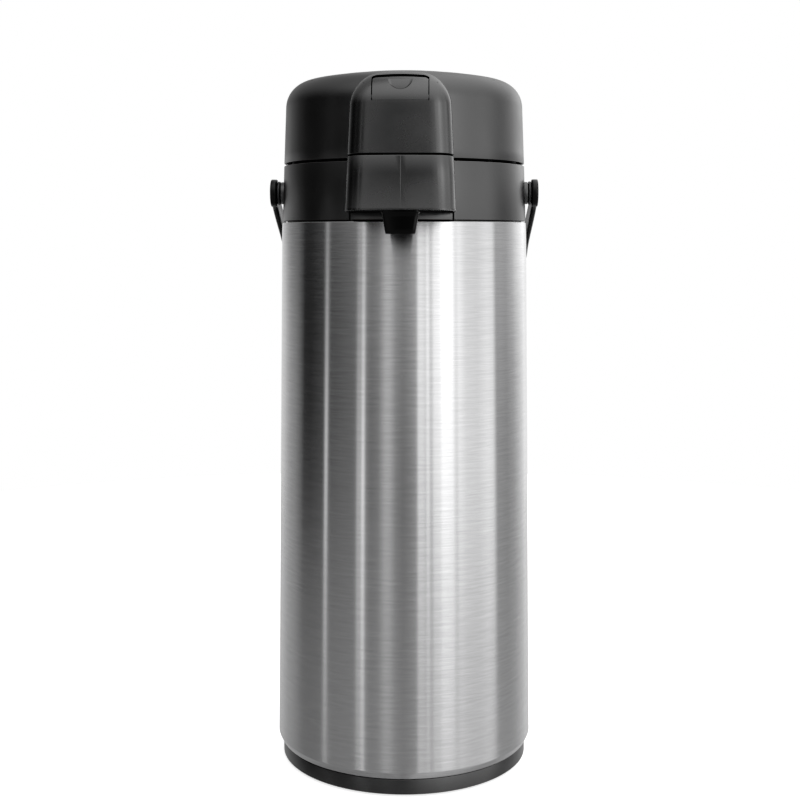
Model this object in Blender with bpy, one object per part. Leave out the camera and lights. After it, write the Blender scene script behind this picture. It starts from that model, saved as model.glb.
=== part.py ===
"""Thermal coffee airpot with a push-down bellows pump, a hinged lid with a front latch, a bail handle and a swivel foot.

Metres, +Z up. The pot's axis is Z, the spout faces -Y, and the foot's underside is at Z = 0.
All named dimensions are in millimetres and are scaled by MM where geometry is made.
"""

import math

import bmesh
import bpy
from mathutils import Matrix, Vector

MM = 0.001
GAP = 0.3  # clearance between pieces that touch

# ---- driving dimensions, mm ------------------------------------------------
CASING_R_TOP, CASING_R_LOW = 68.6, 72.05
CASING_Z_TOP, CASING_Z_LOW = 303.8, 9.9
CASING_T = 0.7

SEAM_Z, SEAM_GAP = 336.4, 1.2  # the lid's lower edge and the open groove under it
COLLAR_Z_LOW = 304.6
COLLAR_R_LOW, COLLAR_R_TOP = 68.2, 67.25
DECK_Z = 331.0
MOUTH_R = 33.0

CROWN_Z, CROWN_R = 386.8, 285.0  # top of the lid's dome and the dome's radius
LID_R_LOW, LID_R_SIDE, LID_SIDE_Z = 67.2, 66.15, 364.0
SHOULDER_R = 14.6
PRESS_HOLE_R, PRESS_R, STROKE = 45.8, 45.0, 17.0

NOSE_W_LOW, NOSE_W_TOP = 27.9, 24.9  # half widths at the bottom and at the top
NOSE_Z_LOW, NOSE_FRONT_LOW, NOSE_LEAN = 309.0, 96.0, 0.050  # front face and its lean per mm
NOSE_TOP_Y, NOSE_TOP_Z, NOSE_TOP_SLOPE = 60.0, 380.9, 0.130
NOSE_FRONT_R, NOSE_EDGE_R = 18.0, 8.0
WALL = 2.2

HINGE_Y, HINGE_Z = 72.5, 337.0
PIVOT_Z = 320.5
BAIL_L, BAIL_REST = 100.0, math.radians(54.0)
LATCH_Y, LATCH_Z = -86.5, 364.0
LATCH_W = 14.2
SPOUT_Y = -84.0
PIPE_Z, PIPE_R = 320.0, 4.5

ROUND, NEAR, INNER, SMALL = 32, 24, 16, 12  # segments of the outer, the hidden and the small round pieces

# ---- start from an empty scene ---------------------------------------------
for old in list(bpy.data.objects):
    bpy.data.objects.remove(old, do_unlink=True)


def material(name, colour, roughness, metallic=0.0, alpha=1.0):
    made = bpy.data.materials.new(name)
    made.use_nodes = True
    shader = made.node_tree.nodes["Principled BSDF"]
    shader.inputs["Base Color"].default_value = (*colour, 1.0)
    shader.inputs["Roughness"].default_value = roughness
    shader.inputs["Metallic"].default_value = metallic
    shader.inputs["Alpha"].default_value = alpha
    made.diffuse_color = (*colour, alpha)
    return made


def with_material(obj, like):
    """Each object gets its own material, from one of the finishes below."""
    name, colour, roughness, metallic, alpha = like
    obj.data.materials.append(
        material(obj.name + "_" + name, colour, roughness, metallic, alpha)
    )


BLACK = ("black_plastic", (0.035, 0.035, 0.037), 0.42, 0.0, 1.0)
DARK = ("inner_plastic", (0.06, 0.06, 0.062), 0.5, 0.0, 1.0)
STEEL = ("brushed_steel", (0.62, 0.62, 0.63), 0.3, 1.0, 1.0)
BRIGHT = ("bright_steel", (0.75, 0.75, 0.76), 0.2, 1.0, 1.0)
GLASS = ("silvered_glass", (0.78, 0.8, 0.82), 0.08, 0.6, 1.0)
RUBBER = ("rubber", (0.05, 0.05, 0.05), 0.8, 0.0, 1.0)
SILICONE = ("silicone", (0.72, 0.72, 0.70), 0.55, 0.0, 1.0)


def object_of(bm, name, like=None, cutter=False, angle=35.0):
    """Makes an object of a bmesh that was drawn in millimetres."""
    bmesh.ops.remove_doubles(bm, verts=bm.verts, dist=1e-4)
    bmesh.ops.recalc_face_normals(bm, faces=bm.faces)
    bmesh.ops.scale(bm, vec=(MM, MM, MM), verts=bm.verts)
    mesh = bpy.data.meshes.new(name)
    bm.to_mesh(mesh)
    bm.free()
    obj = bpy.data.objects.new(name, mesh)
    bpy.context.scene.collection.objects.link(obj)
    if cutter:
        obj.hide_render = True
        obj.display_type = "WIRE"
    else:
        mesh.shade_smooth()
        mesh.set_sharp_from_angle(angle=math.radians(angle))
        with_material(obj, like)
    return obj


def turned(name, profile, segments, like=None, cutter=False, turn=0.0):
    """A body turned about Z from a closed (r, z) profile. A side lying on the axis is left out."""
    bm = bmesh.new()
    verts = [bm.verts.new((r, 0.0, z)) for r, z in profile]
    edges = []
    for i, v in enumerate(verts):
        w = verts[(i + 1) % len(verts)]
        if v.co.x < 1e-6 and w.co.x < 1e-6:
            continue
        edges.append(bm.edges.new((v, w)))
    bmesh.ops.spin(
        bm,
        geom=verts + edges,
        cent=(0, 0, 0),
        axis=(0, 0, 1),
        angle=2 * math.pi,
        steps=segments,
        use_merge=True,
    )
    bmesh.ops.remove_doubles(bm, verts=bm.verts, dist=1e-4)
    bmesh.ops.dissolve_degenerate(bm, edges=bm.edges, dist=1e-5)
    if turn:
        bmesh.ops.rotate(bm, cent=(0, 0, 0), matrix=Matrix.Rotation(turn, 3, "Z"), verts=bm.verts)
    return object_of(bm, name, like, cutter)


def cylinder(name, centre, radius, length, axis, segments, like=None, cutter=False, r2=None):
    """A round bar centred on a point, its length along X, Y or Z."""
    bm = bmesh.new()
    bmesh.ops.create_cone(
        bm,
        cap_ends=True,
        cap_tris=False,
        segments=segments,
        radius1=radius,
        radius2=radius if r2 is None else r2,
        depth=length,
    )
    spin = {
        "X": Matrix.Rotation(math.pi / 2, 4, "Y"),
        "Y": Matrix.Rotation(math.pi / 2, 4, "X"),
        "Z": Matrix.Identity(4),
    }[axis]
    bmesh.ops.transform(bm, matrix=Matrix.Translation(centre) @ spin, verts=bm.verts)
    return object_of(bm, name, like, cutter)


def block(name, low, high, like=None, cutter=False):
    bm = bmesh.new()
    bmesh.ops.create_cube(bm, size=1.0)
    low, high = Vector(low), Vector(high)
    bmesh.ops.scale(bm, vec=high - low, verts=bm.verts)
    bmesh.ops.translate(bm, vec=(low + high) / 2, verts=bm.verts)
    return object_of(bm, name, like, cutter)


def loft(name, rings, like=None, cutter=False):
    """A closed body through rings of the same number of points, with flat ends."""
    bm = bmesh.new()
    rows = [[bm.verts.new(p) for p in ring] for ring in rings]
    for a, b in zip(rows, rows[1:]):
        for i in range(len(a)):
            j = (i + 1) % len(a)
            bm.faces.new((a[i], a[j], b[j], b[i]))
    bm.faces.new(rows[0])
    bm.faces.new(rows[-1])
    return object_of(bm, name, like, cutter)


def boolean(obj, other, operation):
    step = obj.modifiers.new(other.name, "BOOLEAN")
    step.object = other
    step.operation = operation
    step.solver = "EXACT"
    other.hide_render = True
    other.display_type = "WIRE"


def cut(obj, *others):
    for other in others:
        boolean(obj, other, "DIFFERENCE")


def join(obj, *others):
    for other in others:
        boolean(obj, other, "UNION")


def at(radius, degrees):
    """A point on a circle about Z; 0 degrees is +X and 90 is +Y."""
    a = math.radians(degrees)
    return radius * math.cos(a), radius * math.sin(a)


# ---- shared shapes of the lid and its nose ----------------------------------
def crown_z(r):
    return CROWN_Z - CROWN_R + math.sqrt(CROWN_R**2 - r**2)


def dome_profile(inset=0.0, steps=4, z_low=SEAM_Z):
    """(r, z) of the lid's dome from its lower edge over the shoulder to the axis, moved inwards by inset."""
    slope = (LID_R_SIDE - LID_R_LOW) / (LID_SIDE_Z - SEAM_Z)
    side = lambda z: LID_R_LOW + slope * (z - SEAM_Z) - inset
    rho = SHOULDER_R - inset
    # centre of the shoulder's arc: SHOULDER_R inside both the side and the crown
    cz = LID_SIDE_Z
    for _ in range(20):
        cr = side(cz) + inset - SHOULDER_R
        cz = CROWN_Z - CROWN_R + math.sqrt((CROWN_R - SHOULDER_R) ** 2 - cr**2)
    points = [(side(z_low), z_low)]
    tilt = math.atan2(cr, cz - (CROWN_Z - CROWN_R))
    for i in range(steps + 1):
        a = (math.pi / 2 - tilt) * i / steps
        points.append((cr + rho * math.cos(a), cz + rho * math.sin(a)))
    for r in (30.0, 0.0):
        points.append((r, CROWN_Z - CROWN_R + math.sqrt((CROWN_R - inset) ** 2 - r**2)))
    return points


def nose_front(z):
    return -(NOSE_FRONT_LOW - NOSE_LEAN * (z - NOSE_Z_LOW))


def nose_half_width(z):
    t = (z - NOSE_Z_LOW) / (NOSE_TOP_Z - NOSE_Z_LOW)
    return NOSE_W_LOW + (NOSE_W_TOP - NOSE_W_LOW) * min(max(t, 0.0), 1.0)


def nose_arc(inset=0.0):
    """Centre and radius of the arc between the nose's front and its top."""
    n_front = Vector((-1.0, NOSE_LEAN)).normalized()  # outward, in (y, z)
    n_top = Vector((-NOSE_TOP_SLOPE, 1.0)).normalized()
    d_front = n_front.dot(Vector((-NOSE_FRONT_LOW, NOSE_Z_LOW)))
    d_top = n_top.dot(Vector((-NOSE_TOP_Y, NOSE_TOP_Z)))
    d_front -= NOSE_FRONT_R
    d_top -= NOSE_FRONT_R
    det = n_front.x * n_top.y - n_front.y * n_top.x
    y = (d_front * n_top.y - n_front.y * d_top) / det
    z = (n_front.x * d_top - d_front * n_top.x) / det
    return Vector((y, z)), NOSE_FRONT_R - inset, n_front, n_top


def nose_profile(inset, back, z_low, arc_steps):
    """(y, z) round the nose's side view, from the bottom of its front, over the top, to the back."""
    centre, rho, n_front, n_top = nose_arc(inset)
    points = []
    a0 = math.atan2(n_front.y, n_front.x)
    a1 = math.atan2(n_top.y, n_top.x)
    if a0 < 0:
        a0 += 2 * math.pi
    start = centre + rho * Vector((math.cos(a0), math.sin(a0)))
    along = Vector((-n_front.y, n_front.x))
    t = (z_low - start.y) / along.y
    points.append(start + along * t)
    for i in range(arc_steps + 1):
        a = a0 + (a1 - a0) * i / arc_steps
        points.append(centre + rho * Vector((math.cos(a), math.sin(a))))
    end = points[-1]
    along = Vector((n_top.y, -n_top.x))
    t = (back - end.x) / along.x
    points.append(end + along * t)
    points.append(Vector((back, z_low)))
    return points


def edge_steps(steps, wall, rho):
    """(share of the flat half width, rounding u, inward offset) across the nose, left to right."""
    side = []
    for i in range(steps + 1):
        a = math.pi / 2 * i / steps
        side.append((1.0, rho * math.sin(a), rho * (1 - math.cos(a))))
    return side


def nose_body(name, wall, back, z_low, z_high=None, arc_steps=5, steps=3, cutter=True, like=None):
    """The nose as slices across X. With z_high it is the part below the seam, with a flat top."""
    rho = NOSE_EDGE_R - wall
    rings = []
    slices = [(-s, u, d) for s, u, d in reversed(edge_steps(steps, wall, rho))]
    slices += edge_steps(steps, wall, rho)
    for sign, u, d in slices:
        inset = wall + d
        if z_high is None:
            outline = nose_profile(inset, back, z_low, arc_steps)
        else:
            n = math.sqrt(1 + NOSE_LEAN**2)
            outline = [
                Vector((nose_front(z_low) + inset * n, z_low)),
                Vector((nose_front(z_high) + inset * n, z_high)),
                Vector((back, z_high)),
                Vector((back, z_low)),
            ]
        ring = []
        for p in outline:
            x = nose_half_width(p.y) - wall - rho + u
            ring.append((math.copysign(x, sign), p.x, p.y))
        rings.append(ring)
    return loft(name, rings, like, cutter)


def screw(name, x, y, z_head, length, up, head_r=2.9, head_h=1.8, shank_r=1.2):
    """A pan-head screw whose head's outer face is at z_head; up is +1 when the shank points up."""
    z0, z1, z2 = z_head, z_head + up * head_h, z_head + up * length
    profile = [(0, z0), (head_r * 0.72, z0), (head_r, z0 + up * 0.6), (head_r, z1), (shank_r, z1), (shank_r, z2), (0, z2)]
    obj = turned(name, profile, 8, BRIGHT)
    obj.location = (x * MM, y * MM, 0)
    return obj


def hole(name, x, y, z0, z1, radius, segments=8):
    made = cylinder(name, (0, 0, (z0 + z1) / 2), radius, abs(z1 - z0), "Z", segments, cutter=True)
    made.data.transform(Matrix.Translation((x * MM, y * MM, 0)) @ Matrix.Rotation(0.21, 4, "Z"))
    return made


def tube_along(name, path, outer, inner, segments, like, cutter=False):
    """A pipe with open ends along a path in the YZ plane, all of it at X = 0."""
    bm = bmesh.new()
    rows = []
    for i, p in enumerate(path):
        a = path[max(i - 1, 0)]
        b = path[min(i + 1, len(path) - 1)]
        t = (Vector(b) - Vector(a)).normalized()
        side = Vector((1.0, 0.0, 0.0))
        up = t.cross(side).normalized()
        row = []
        for r in (outer, inner):
            if r is None:
                continue
            row.append(
                [
                    bm.verts.new(Vector(p) + r * (math.cos(k) * side + math.sin(k) * up))
                    for k in (2 * math.pi * j / segments for j in range(segments))
                ]
            )
        rows.append(row)
    for a, b in zip(rows, rows[1:]):
        for ring in range(len(a)):
            for j in range(segments):
                k = (j + 1) % segments
                quad = (a[ring][j], a[ring][k], b[ring][k], b[ring][j])
                bm.faces.new(quad if ring == 0 else quad[::-1])
    for end in (rows[0], rows[-1]):
        if len(end) == 1:
            bm.faces.new(end[0])
            continue
        for j in range(segments):
            k = (j + 1) % segments
            bm.faces.new((end[0][j], end[0][k], end[1][k], end[1][j]))
    return object_of(bm, name, like, cutter)


# =========================== the pot's fixed pieces ===========================
# Steel casing: a slightly tapered tube, turned in at both ends.
t = CASING_T
casing = turned(
    "casing_tube",
    [
        (CASING_R_LOW - 5.2, 9.9), (CASING_R_LOW - 1.9, 9.9), (CASING_R_LOW - 0.5, 11.2), (CASING_R_LOW, 14.0),
        (CASING_R_TOP, 303.8), (66.0, 303.8), (66.0, 303.8 - t), (CASING_R_TOP - t, 303.8 - t), (CASING_R_LOW - t, 14.2),
        (CASING_R_LOW - 2.2, 9.9 + t), (CASING_R_LOW - 5.2, 9.9 + t),
    ],
    ROUND,
    STEEL,
)

# Collar: the black shoulder ring with its deck, the filling mouth and the lower half of the nose.
collar = turned(
    "collar",
    [
        (COLLAR_R_LOW, COLLAR_Z_LOW), (COLLAR_R_TOP, SEAM_Z - SEAM_GAP), (65.5, SEAM_Z - SEAM_GAP), (65.6, DECK_Z), (MOUTH_R, DECK_Z),
        (MOUTH_R, 309.4), (35.4, 309.4), (35.4, 328.6), (63.3, 328.6), (63.3, 299.2), (65.6, 299.2), (65.6, COLLAR_Z_LOW),
    ],
    ROUND,
    BLACK,
)
nose_low = nose_body("collar_nose_outer", 0.0, -55.0, NOSE_Z_LOW, SEAM_Z - 0.2)
join(collar, nose_low)
# hollow of the nose below the deck, above its floor, and the recess under the floor
cut(collar, nose_body("collar_nose_hollow", WALL, -50.0, 313.0, 328.6))
cut(collar, nose_body("collar_nose_recess", 1.6, -68.2, 305.0, 311.0))
cut(collar, nose_body("collar_nose_top_recess", WALL, -66.2, DECK_Z, 340.0))
# bosses for the handle, and the lug in the middle of the lid's hinge
for sign, side in ((-1, "left"), (1, "right")):
    join(collar, cylinder("collar_boss_" + side, (sign * 67.25, 0, PIVOT_Z), 6.2, 4.5, "X", 16, cutter=True))
    cut(collar, cylinder("collar_boss_hole_" + side, (sign * 68.5, 0, PIVOT_Z), 1.8, 14.0, "X", 8, cutter=True))
join(collar, cylinder("collar_hinge_lug", (0, HINGE_Y, HINGE_Z), 3.8, 27.0, "X", 12, cutter=True))
join(collar, block("collar_hinge_web", (-13.5, 65.0, 322.0), (13.5, HINGE_Y + 2.4, HINGE_Z - 2.0), cutter=True))
cut(collar, cylinder("collar_hinge_bore", (0, HINGE_Y, HINGE_Z), 1.9, 40.0, "X", 8, cutter=True))
# ways through: spout in the nose floor, the pipe through the mouth's wall, the latch's slot, the plate's notch
cut(collar, block("collar_spout_way", (-9.9, SPOUT_Y - 7.9, 308.0), (9.9, SPOUT_Y + 7.9, 315.0), cutter=True))
cut(collar, cylinder("collar_pipe_way", (0, -34.0, PIPE_Z), 7.5, 12.0, "Y", 12, cutter=True))
cut(collar, block("collar_latch_slot", (-10.5, -91.2, 326.0), (10.5, -80.6, 333.0), cutter=True))
cut(collar, block("collar_plate_notch", (-28.3, -75.0, 300.0), (28.3, -58.0, 308.9), cutter=True))
for i, angle in enumerate((90.0, 210.0, 330.0), 1):
    x, y = at(60.4, angle)
    join(collar, cylinder(f"collar_post_{i}", (x, y, 314.1), 3.6, 29.9, "Z", 8, cutter=True))
    cut(collar, hole(f"collar_post_hole_{i}", x, y, 296.0, 308.0, 1.5))

# Plate that closes the collar under the nose
plate = turned("spout_base_plate", [(66.2, 304.6), (68.15, 304.6), (68.05, 308.6), (66.2, 308.6)], 60, BLACK)
bm = bmesh.new()
bmesh.ops.create_cube(bm, size=1.0)
bmesh.ops.scale(bm, vec=(56.0, 60.0, 20.0), verts=bm.verts)
bmesh.ops.translate(bm, vec=(0.0, -80.0, 306.0), verts=bm.verts)
keep = object_of(bm, "spout_base_plate_keep", cutter=True)
boolean(plate, keep, "INTERSECT")

# Spout nozzle: a tapered box with a round bore
def rounded_box(w, d, y, z, c=2.4):
    return [
        (-w + c, y - d, z), (w - c, y - d, z), (w, y - d + c, z), (w, y + d - c, z),
        (w - c, y + d, z), (-w + c, y + d, z), (-w, y + d - c, z), (-w, y - d + c, z),
    ]


nozzle = loft(
    "spout_nozzle",
    [
        rounded_box(8.0, 6.4, SPOUT_Y, 297.2), rounded_box(9.35, 7.3, SPOUT_Y, 308.0),
        rounded_box(9.5, 7.5, SPOUT_Y, 309.0), rounded_box(9.5, 7.5, SPOUT_Y, 311.0),
    ],
    BLACK,
)
cut(nozzle, hole("spout_bore", 0, SPOUT_Y, 290.0, 320.0, 5.0, 14))

# Delivery pipe from the flask's mouth through the nose to the nozzle
R = 9.0
path = [(0, 0, 302.2), (0, 0, PIPE_Z - R)]
path += [(0, -R + R * math.cos(a), PIPE_Z - R + R * math.sin(a)) for a in (math.pi / 2 * i / 4 for i in range(1, 4))]
path += [(0, -R, PIPE_Z), (0, SPOUT_Y + R, PIPE_Z)]
path += [(0, SPOUT_Y + R - R * math.sin(a), PIPE_Z - R + R * math.cos(a)) for a in (math.pi / 2 * i / 4 for i in range(1, 4))]
path += [(0, SPOUT_Y, PIPE_Z - R), (0, SPOUT_Y, 305.0)]
tube_along("delivery_pipe", path, PIPE_R, PIPE_R - 0.8, 10, BRIGHT)
grommet = turned("pipe_grommet", [(4.8, 29.4), (8.4, 29.4), (8.4, 31.1), (7.1, 31.5), (7.1, 35.6), (8.4, 35.9), (8.4, 37.4), (4.8, 37.4)], SMALL, SILICONE)
grommet.data.transform(Matrix.Translation((0, 0, PIPE_Z * MM)) @ Matrix.Rotation(math.pi / 2, 4, "X"))
turned("pipe_union", [(4.9, 294.5), (6.6, 294.5), (6.6, 308.5), (4.9, 308.5)], 10, SILICONE)
turned("dip_tube", [(3.7, 33.0), (4.5, 33.0), (4.5, 301.8), (3.7, 301.8)], 10, BRIGHT)

# Vacuum flask: inner and outer glass, meeting at the lip
turned(
    "flask_outer_glass",
    [
        (4.2, 15.4), (4.2, 19.8), (38.0, 23.4), (58.0, 33.0), (66.2, 52.0), (66.2, 258.0), (59.5, 274.5), (38.0, 285.0),
        (31.5, 293.0), (31.5, 301.4), (29.9, 301.4), (29.9, 292.6), (37.3, 283.6), (58.3, 273.4), (64.6, 258.0), (64.6, 52.3),
        (57.0, 34.4), (37.6, 25.0), (2.6, 21.4), (2.6, 15.4),
    ],
    INNER,
    GLASS,
)
turned(
    "flask_inner_glass",
    [
        (0.0, 26.6), (36.0, 29.4), (54.6, 38.6), (61.6, 56.0), (61.6, 256.0), (55.0, 270.2), (34.5, 280.4),
        (27.8, 292.0), (27.8, 301.7), (31.5, 301.7), (31.5, 303.6), (26.3, 303.6), (26.3, 291.5), (33.6, 278.9),
        (54.0, 268.9), (60.1, 255.8), (60.1, 56.3), (53.5, 39.8), (35.6, 30.9), (0.0, 28.1),
    ],
    INNER,
    GLASS,
)
turned("flask_mouth_seal", [(26.8, 304.0), (34.8, 304.0), (34.8, 309.0), (26.8, 309.0)], INNER, SILICONE)
turned("flask_cushion", [(12.0, 12.4), (31.0, 12.4), (31.0, 21.6), (18.0, 19.9), (12.0, 19.4)], INNER, RUBBER)

# Base: black skirt, the cap that screws up under the flask, and the ring that clamps the casing's turned-in edge
base = turned(
    "base_ring",
    [
        (69.4, 9.6), (69.4, 1.9), (68.7, 1.2), (66.9, 1.2), (66.7, 6.0), (27.0, 6.0), (27.0, 9.6),
    ],
    ROUND,
    BLACK,
)
turned(
    "flask_support_cap",
    [(0.0, 9.0), (3.2, 9.0), (3.2, 5.2), (26.5, 5.2), (26.5, 9.9), (32.0, 9.9), (32.0, 12.0), (0.0, 12.0)],
    INNER,
    DARK,
)
clamp = turned("base_clamp_ring", [(56.0, 10.95), (68.6, 10.95), (69.4, 12.6), (56.0, 13.6)], NEAR, DARK)
for i, angle in enumerate((90.0, 210.0, 330.0), 1):
    x, y = at(60.5, angle)
    cut(base, hole(f"base_screw_hole_{i}", x, y, 3.0, 12.0, 1.5))
    cut(clamp, hole(f"base_clamp_hole_{i}", x, y, 9.0, 16.0, 1.5))
    screw(f"base_screw_{i}", x, y, 4.4 - 0.5, 9.2, 1, head_r=2.6, head_h=1.7)

# Ring that clamps the collar to the casing's top edge, with its screws
clamp_top = turned("collar_clamp_ring", [(56.5, 296.6), (67.4, 296.6), (67.4, 302.8), (66.2, 302.8), (66.2, 298.9), (56.5, 298.9)], NEAR, DARK)
for i, angle in enumerate((90.0, 210.0, 330.0), 1):
    x, y = at(60.4, angle)
    cut(clamp_top, hole(f"collar_clamp_hole_{i}", x, y, 294.0, 300.5, 1.5))
    screw(f"collar_screw_{i}", x, y, 294.5, 12.0, 1)

# ================================ swivel foot ================================
foot_axis = bpy.data.objects.new("base_swivel_axis", None)
bpy.context.scene.collection.objects.link(foot_axis)
foot = turned(
    "foot_plate",
    [(4.5, 3.3), (9.2, 3.3), (9.2, 1.9), (54.5, 1.9), (56.0, 2.8), (56.0, 5.4), (51.5, 5.4), (51.5, 3.6), (31.0, 3.6), (31.0, 4.6), (4.5, 4.6)],
    NEAR,
    DARK,
)
pivot = turned("foot_pivot_screw", [(0.0, 2.0), (8.6, 2.0), (8.6, 3.0), (4.2, 3.0), (4.2, 4.9), (2.8, 4.9), (2.8, 8.7), (0.0, 8.7)], SMALL, BRIGHT)
pads = [cylinder("foot_pad_centre", (0, 0, 0.8), 11.5, 1.6, "Z", 16, RUBBER)]
for i, angle in enumerate((45.0, 135.0, 225.0, 315.0), 1):
    x, y = at(46.0, angle)
    pads.append(cylinder(f"foot_pad_{i}", (x, y, 0.8), 6.5, 1.6, "Z", 12, RUBBER))

# =================================== lid =====================================
lid_axis = bpy.data.objects.new("lid_hinge_axis", None)
lid_axis.location = (0, HINGE_Y * MM, HINGE_Z * MM)
bpy.context.scene.collection.objects.link(lid_axis)

lid = turned("lid_shell", [(0.0, SEAM_Z)] + dome_profile(), ROUND, BLACK)
join(lid, nose_body("lid_nose_outer", 0.0, -40.0, SEAM_Z + 0.5))
cut(lid, turned("lid_hollow", [(0.0, 330.0)] + dome_profile(WALL, 3, 330.0), ROUND, cutter=True))
cut(lid, nose_body("lid_nose_hollow", WALL, -45.0, 330.0))
join(
    lid,
    turned(
        "lid_sleeve",
        [(PRESS_HOLE_R - 3.0, 358.6), (47.6, 358.6), (47.6, crown_z(47.6) - 0.9), (PRESS_HOLE_R - 3.0, crown_z(PRESS_HOLE_R) - 0.9)],
        ROUND,
        cutter=True,
    ),
)
cut(lid, cylinder("lid_press_way", (0, 0, 380.0), PRESS_HOLE_R, 60.0, "Z", ROUND, cutter=True))
for i, angle in enumerate((90.0, 215.0, 325.0), 1):
    x, y = at(56.0, angle)
    join(lid, cylinder(f"lid_post_{i}", (x, y, 359.2), 3.6, 40.6, "Z", 8, cutter=True))
    cut(lid, hole(f"lid_post_hole_{i}", x, y, 330.0, 350.0, 1.5))
# hinge knuckles either side of the collar's lug
for sign, side in ((-1, "left"), (1, "right")):
    knuckle = cylinder("lid_knuckle_" + side, (sign * 19.0, HINGE_Y, HINGE_Z), 3.8, 9.6, "X", 12, cutter=True)
    web = block("lid_knuckle_web_" + side, (sign * 19.0 - 4.8, 62.4, HINGE_Z + 0.6), (sign * 19.0 + 4.8, HINGE_Y + 1.6, HINGE_Z + 7.5), cutter=True)
    join(lid, knuckle, web)
cut(lid, cylinder("lid_hinge_bore", (0, HINGE_Y, HINGE_Z), 1.9, 60.0, "X", 8, cutter=True))
cut(lid, block("lid_lug_clear", (-14.0, 67.3, 330.0), (14.0, 80.0, 343.0), cutter=True))
cylinder("lid_hinge_pin", (0, HINGE_Y, HINGE_Z), 1.6, 47.0, "X", 10, BRIGHT)

# window for the latch on the nose's rounded top
centre, rho, n_front, n_top = nose_arc(0.0)


def arc_plate(name, r_in, r_out, half_w, a_top, a_low, steps=6, like=None, cutter=True):
    """A curved plate round the nose's front arc; angles are measured from straight up towards the front, in degrees."""
    rings = []
    for x in (-half_w, half_w):
        outline = []
        for i in range(steps + 1):
            a = math.radians(a_top + (a_low - a_top) * i / steps)
            outline.append((x, centre.x - r_out * math.sin(a), centre.y + r_out * math.cos(a)))
        for i in range(steps, -1, -1):
            a = math.radians(a_top + (a_low - a_top) * i / steps)
            outline.append((x, centre.x - r_in * math.sin(a), centre.y + r_in * math.cos(a)))
        rings.append(outline)
    return loft(name, rings, like, cutter)


cut(lid, arc_plate("lid_latch_window", 11.0, 26.0, LATCH_W + 0.5, 27.5, 84.0))
# ears inside the nose that carry the latch's pin
for sign, side in ((-1, "left"), (1, "right")):
    ear = block("lid_ear_" + side, (sign * 17.4 - 1.3, -89.2, LATCH_Z - 3.4), (sign * 17.4 + 1.3, -83.8, 371.5), cutter=True)
    root = block("lid_ear_root_" + side, (sign * 17.4 - 1.1, -86.7, 370.2), (sign * 17.4 + 1.1, -84.1, 374.3), cutter=True)
    join(lid, ear, root)
cut(lid, cylinder("lid_ear_bore", (0, LATCH_Y, LATCH_Z), 1.35, 37.0, "X", 8, cutter=True))
cylinder("latch_pin", (0, LATCH_Y, LATCH_Z), 1.1, 36.4, "X", 8, BRIGHT)

# inner cover with the well that blows air into the flask, its gasket, valve and screws
inner = turned(
    "lid_inner_cover",
    [
        (3.0, 326.0), (28.6, 326.0), (29.0, 336.4), (62.9, 336.4), (62.9, 338.5),
        (26.6, 338.5), (26.6, 328.2), (3.0, 328.2),
    ],
    NEAR,
    DARK,
)
turned("lid_gasket", [(29.4, 331.4), (34.4, 331.4), (34.8, 333.0), (34.8, 336.0), (29.4, 336.0)], NEAR, SILICONE)
turned("air_valve_disc", [(0.0, 328.6), (9.0, 328.6), (9.0, 329.7), (0.0, 329.7)], 16, SILICONE)
for i, angle in enumerate((90.0, 215.0, 325.0), 1):
    x, y = at(56.0, angle)
    cut(inner, hole(f"cover_hole_{i}", x, y, 330.0, 342.0, 1.5))
    screw(f"lid_screw_{i}", x, y, 334.2, 13.0, 1)

# bellows pump: folded rubber, the ring that holds its foot, and the return spring
folds = [(30.0, 338.9), (41.2, 338.9), (41.2, 340.0), (37.9, 340.0), (37.6, 341.2)]
inside = [(30.0, 340.0), (36.0, 340.4)]
FOLDS = 4
for i in range(FOLDS):
    z, pitch = 341.2, 31.4 / FOLDS
    folds += [(33.6, z + pitch * (i + 0.5)), (37.6, z + pitch * (i + 1))]
    inside += [(32.0, z + pitch * (i + 0.5)), (36.0, z + pitch * (i + 1))]
folds = folds[:-1] + [(37.0, 374.0), (12.0, 374.0), (12.0, 372.8)]
inside = inside[:-1] + [(35.6, 372.8)]
bellows = turned("bellows", folds + inside[::-1], INNER, RUBBER)
turned("bellows_clamp_ring", [(38.4, 340.4), (42.0, 340.4), (42.0, 342.2), (38.4, 342.2)], INNER, DARK)
turns, n = 5, 8
spring_path = []
for i in range(turns * n + 1):
    a = 2 * math.pi * i / n
    z = 329.9 + 41.4 * i / (turns * n)
    spring_path.append((14.0 * math.cos(a), 14.0 * math.sin(a), z))


def wire(name, path, radius, sides, like):
    bm = bmesh.new()
    rows = []
    for i, p in enumerate(path):
        a, b = Vector(path[max(i - 1, 0)]), Vector(path[min(i + 1, len(path) - 1)])
        tangent = (b - a).normalized()
        out = Vector((p[0], p[1], 0.0)).normalized()
        up = tangent.cross(out).normalized()
        out = up.cross(tangent).normalized()
        rows.append([bm.verts.new(Vector(p) + radius * (math.cos(k) * out + math.sin(k) * up)) for k in (2 * math.pi * j / sides for j in range(sides))])
    for a, b in zip(rows, rows[1:]):
        for j in range(sides):
            k = (j + 1) % sides
            bm.faces.new((a[j], a[k], b[k], b[j]))
    bm.faces.new(rows[0])
    bm.faces.new(rows[-1])
    return object_of(bm, name, like)


spring = wire("pump_spring", spring_path, 0.9, 5, BRIGHT)

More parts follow.
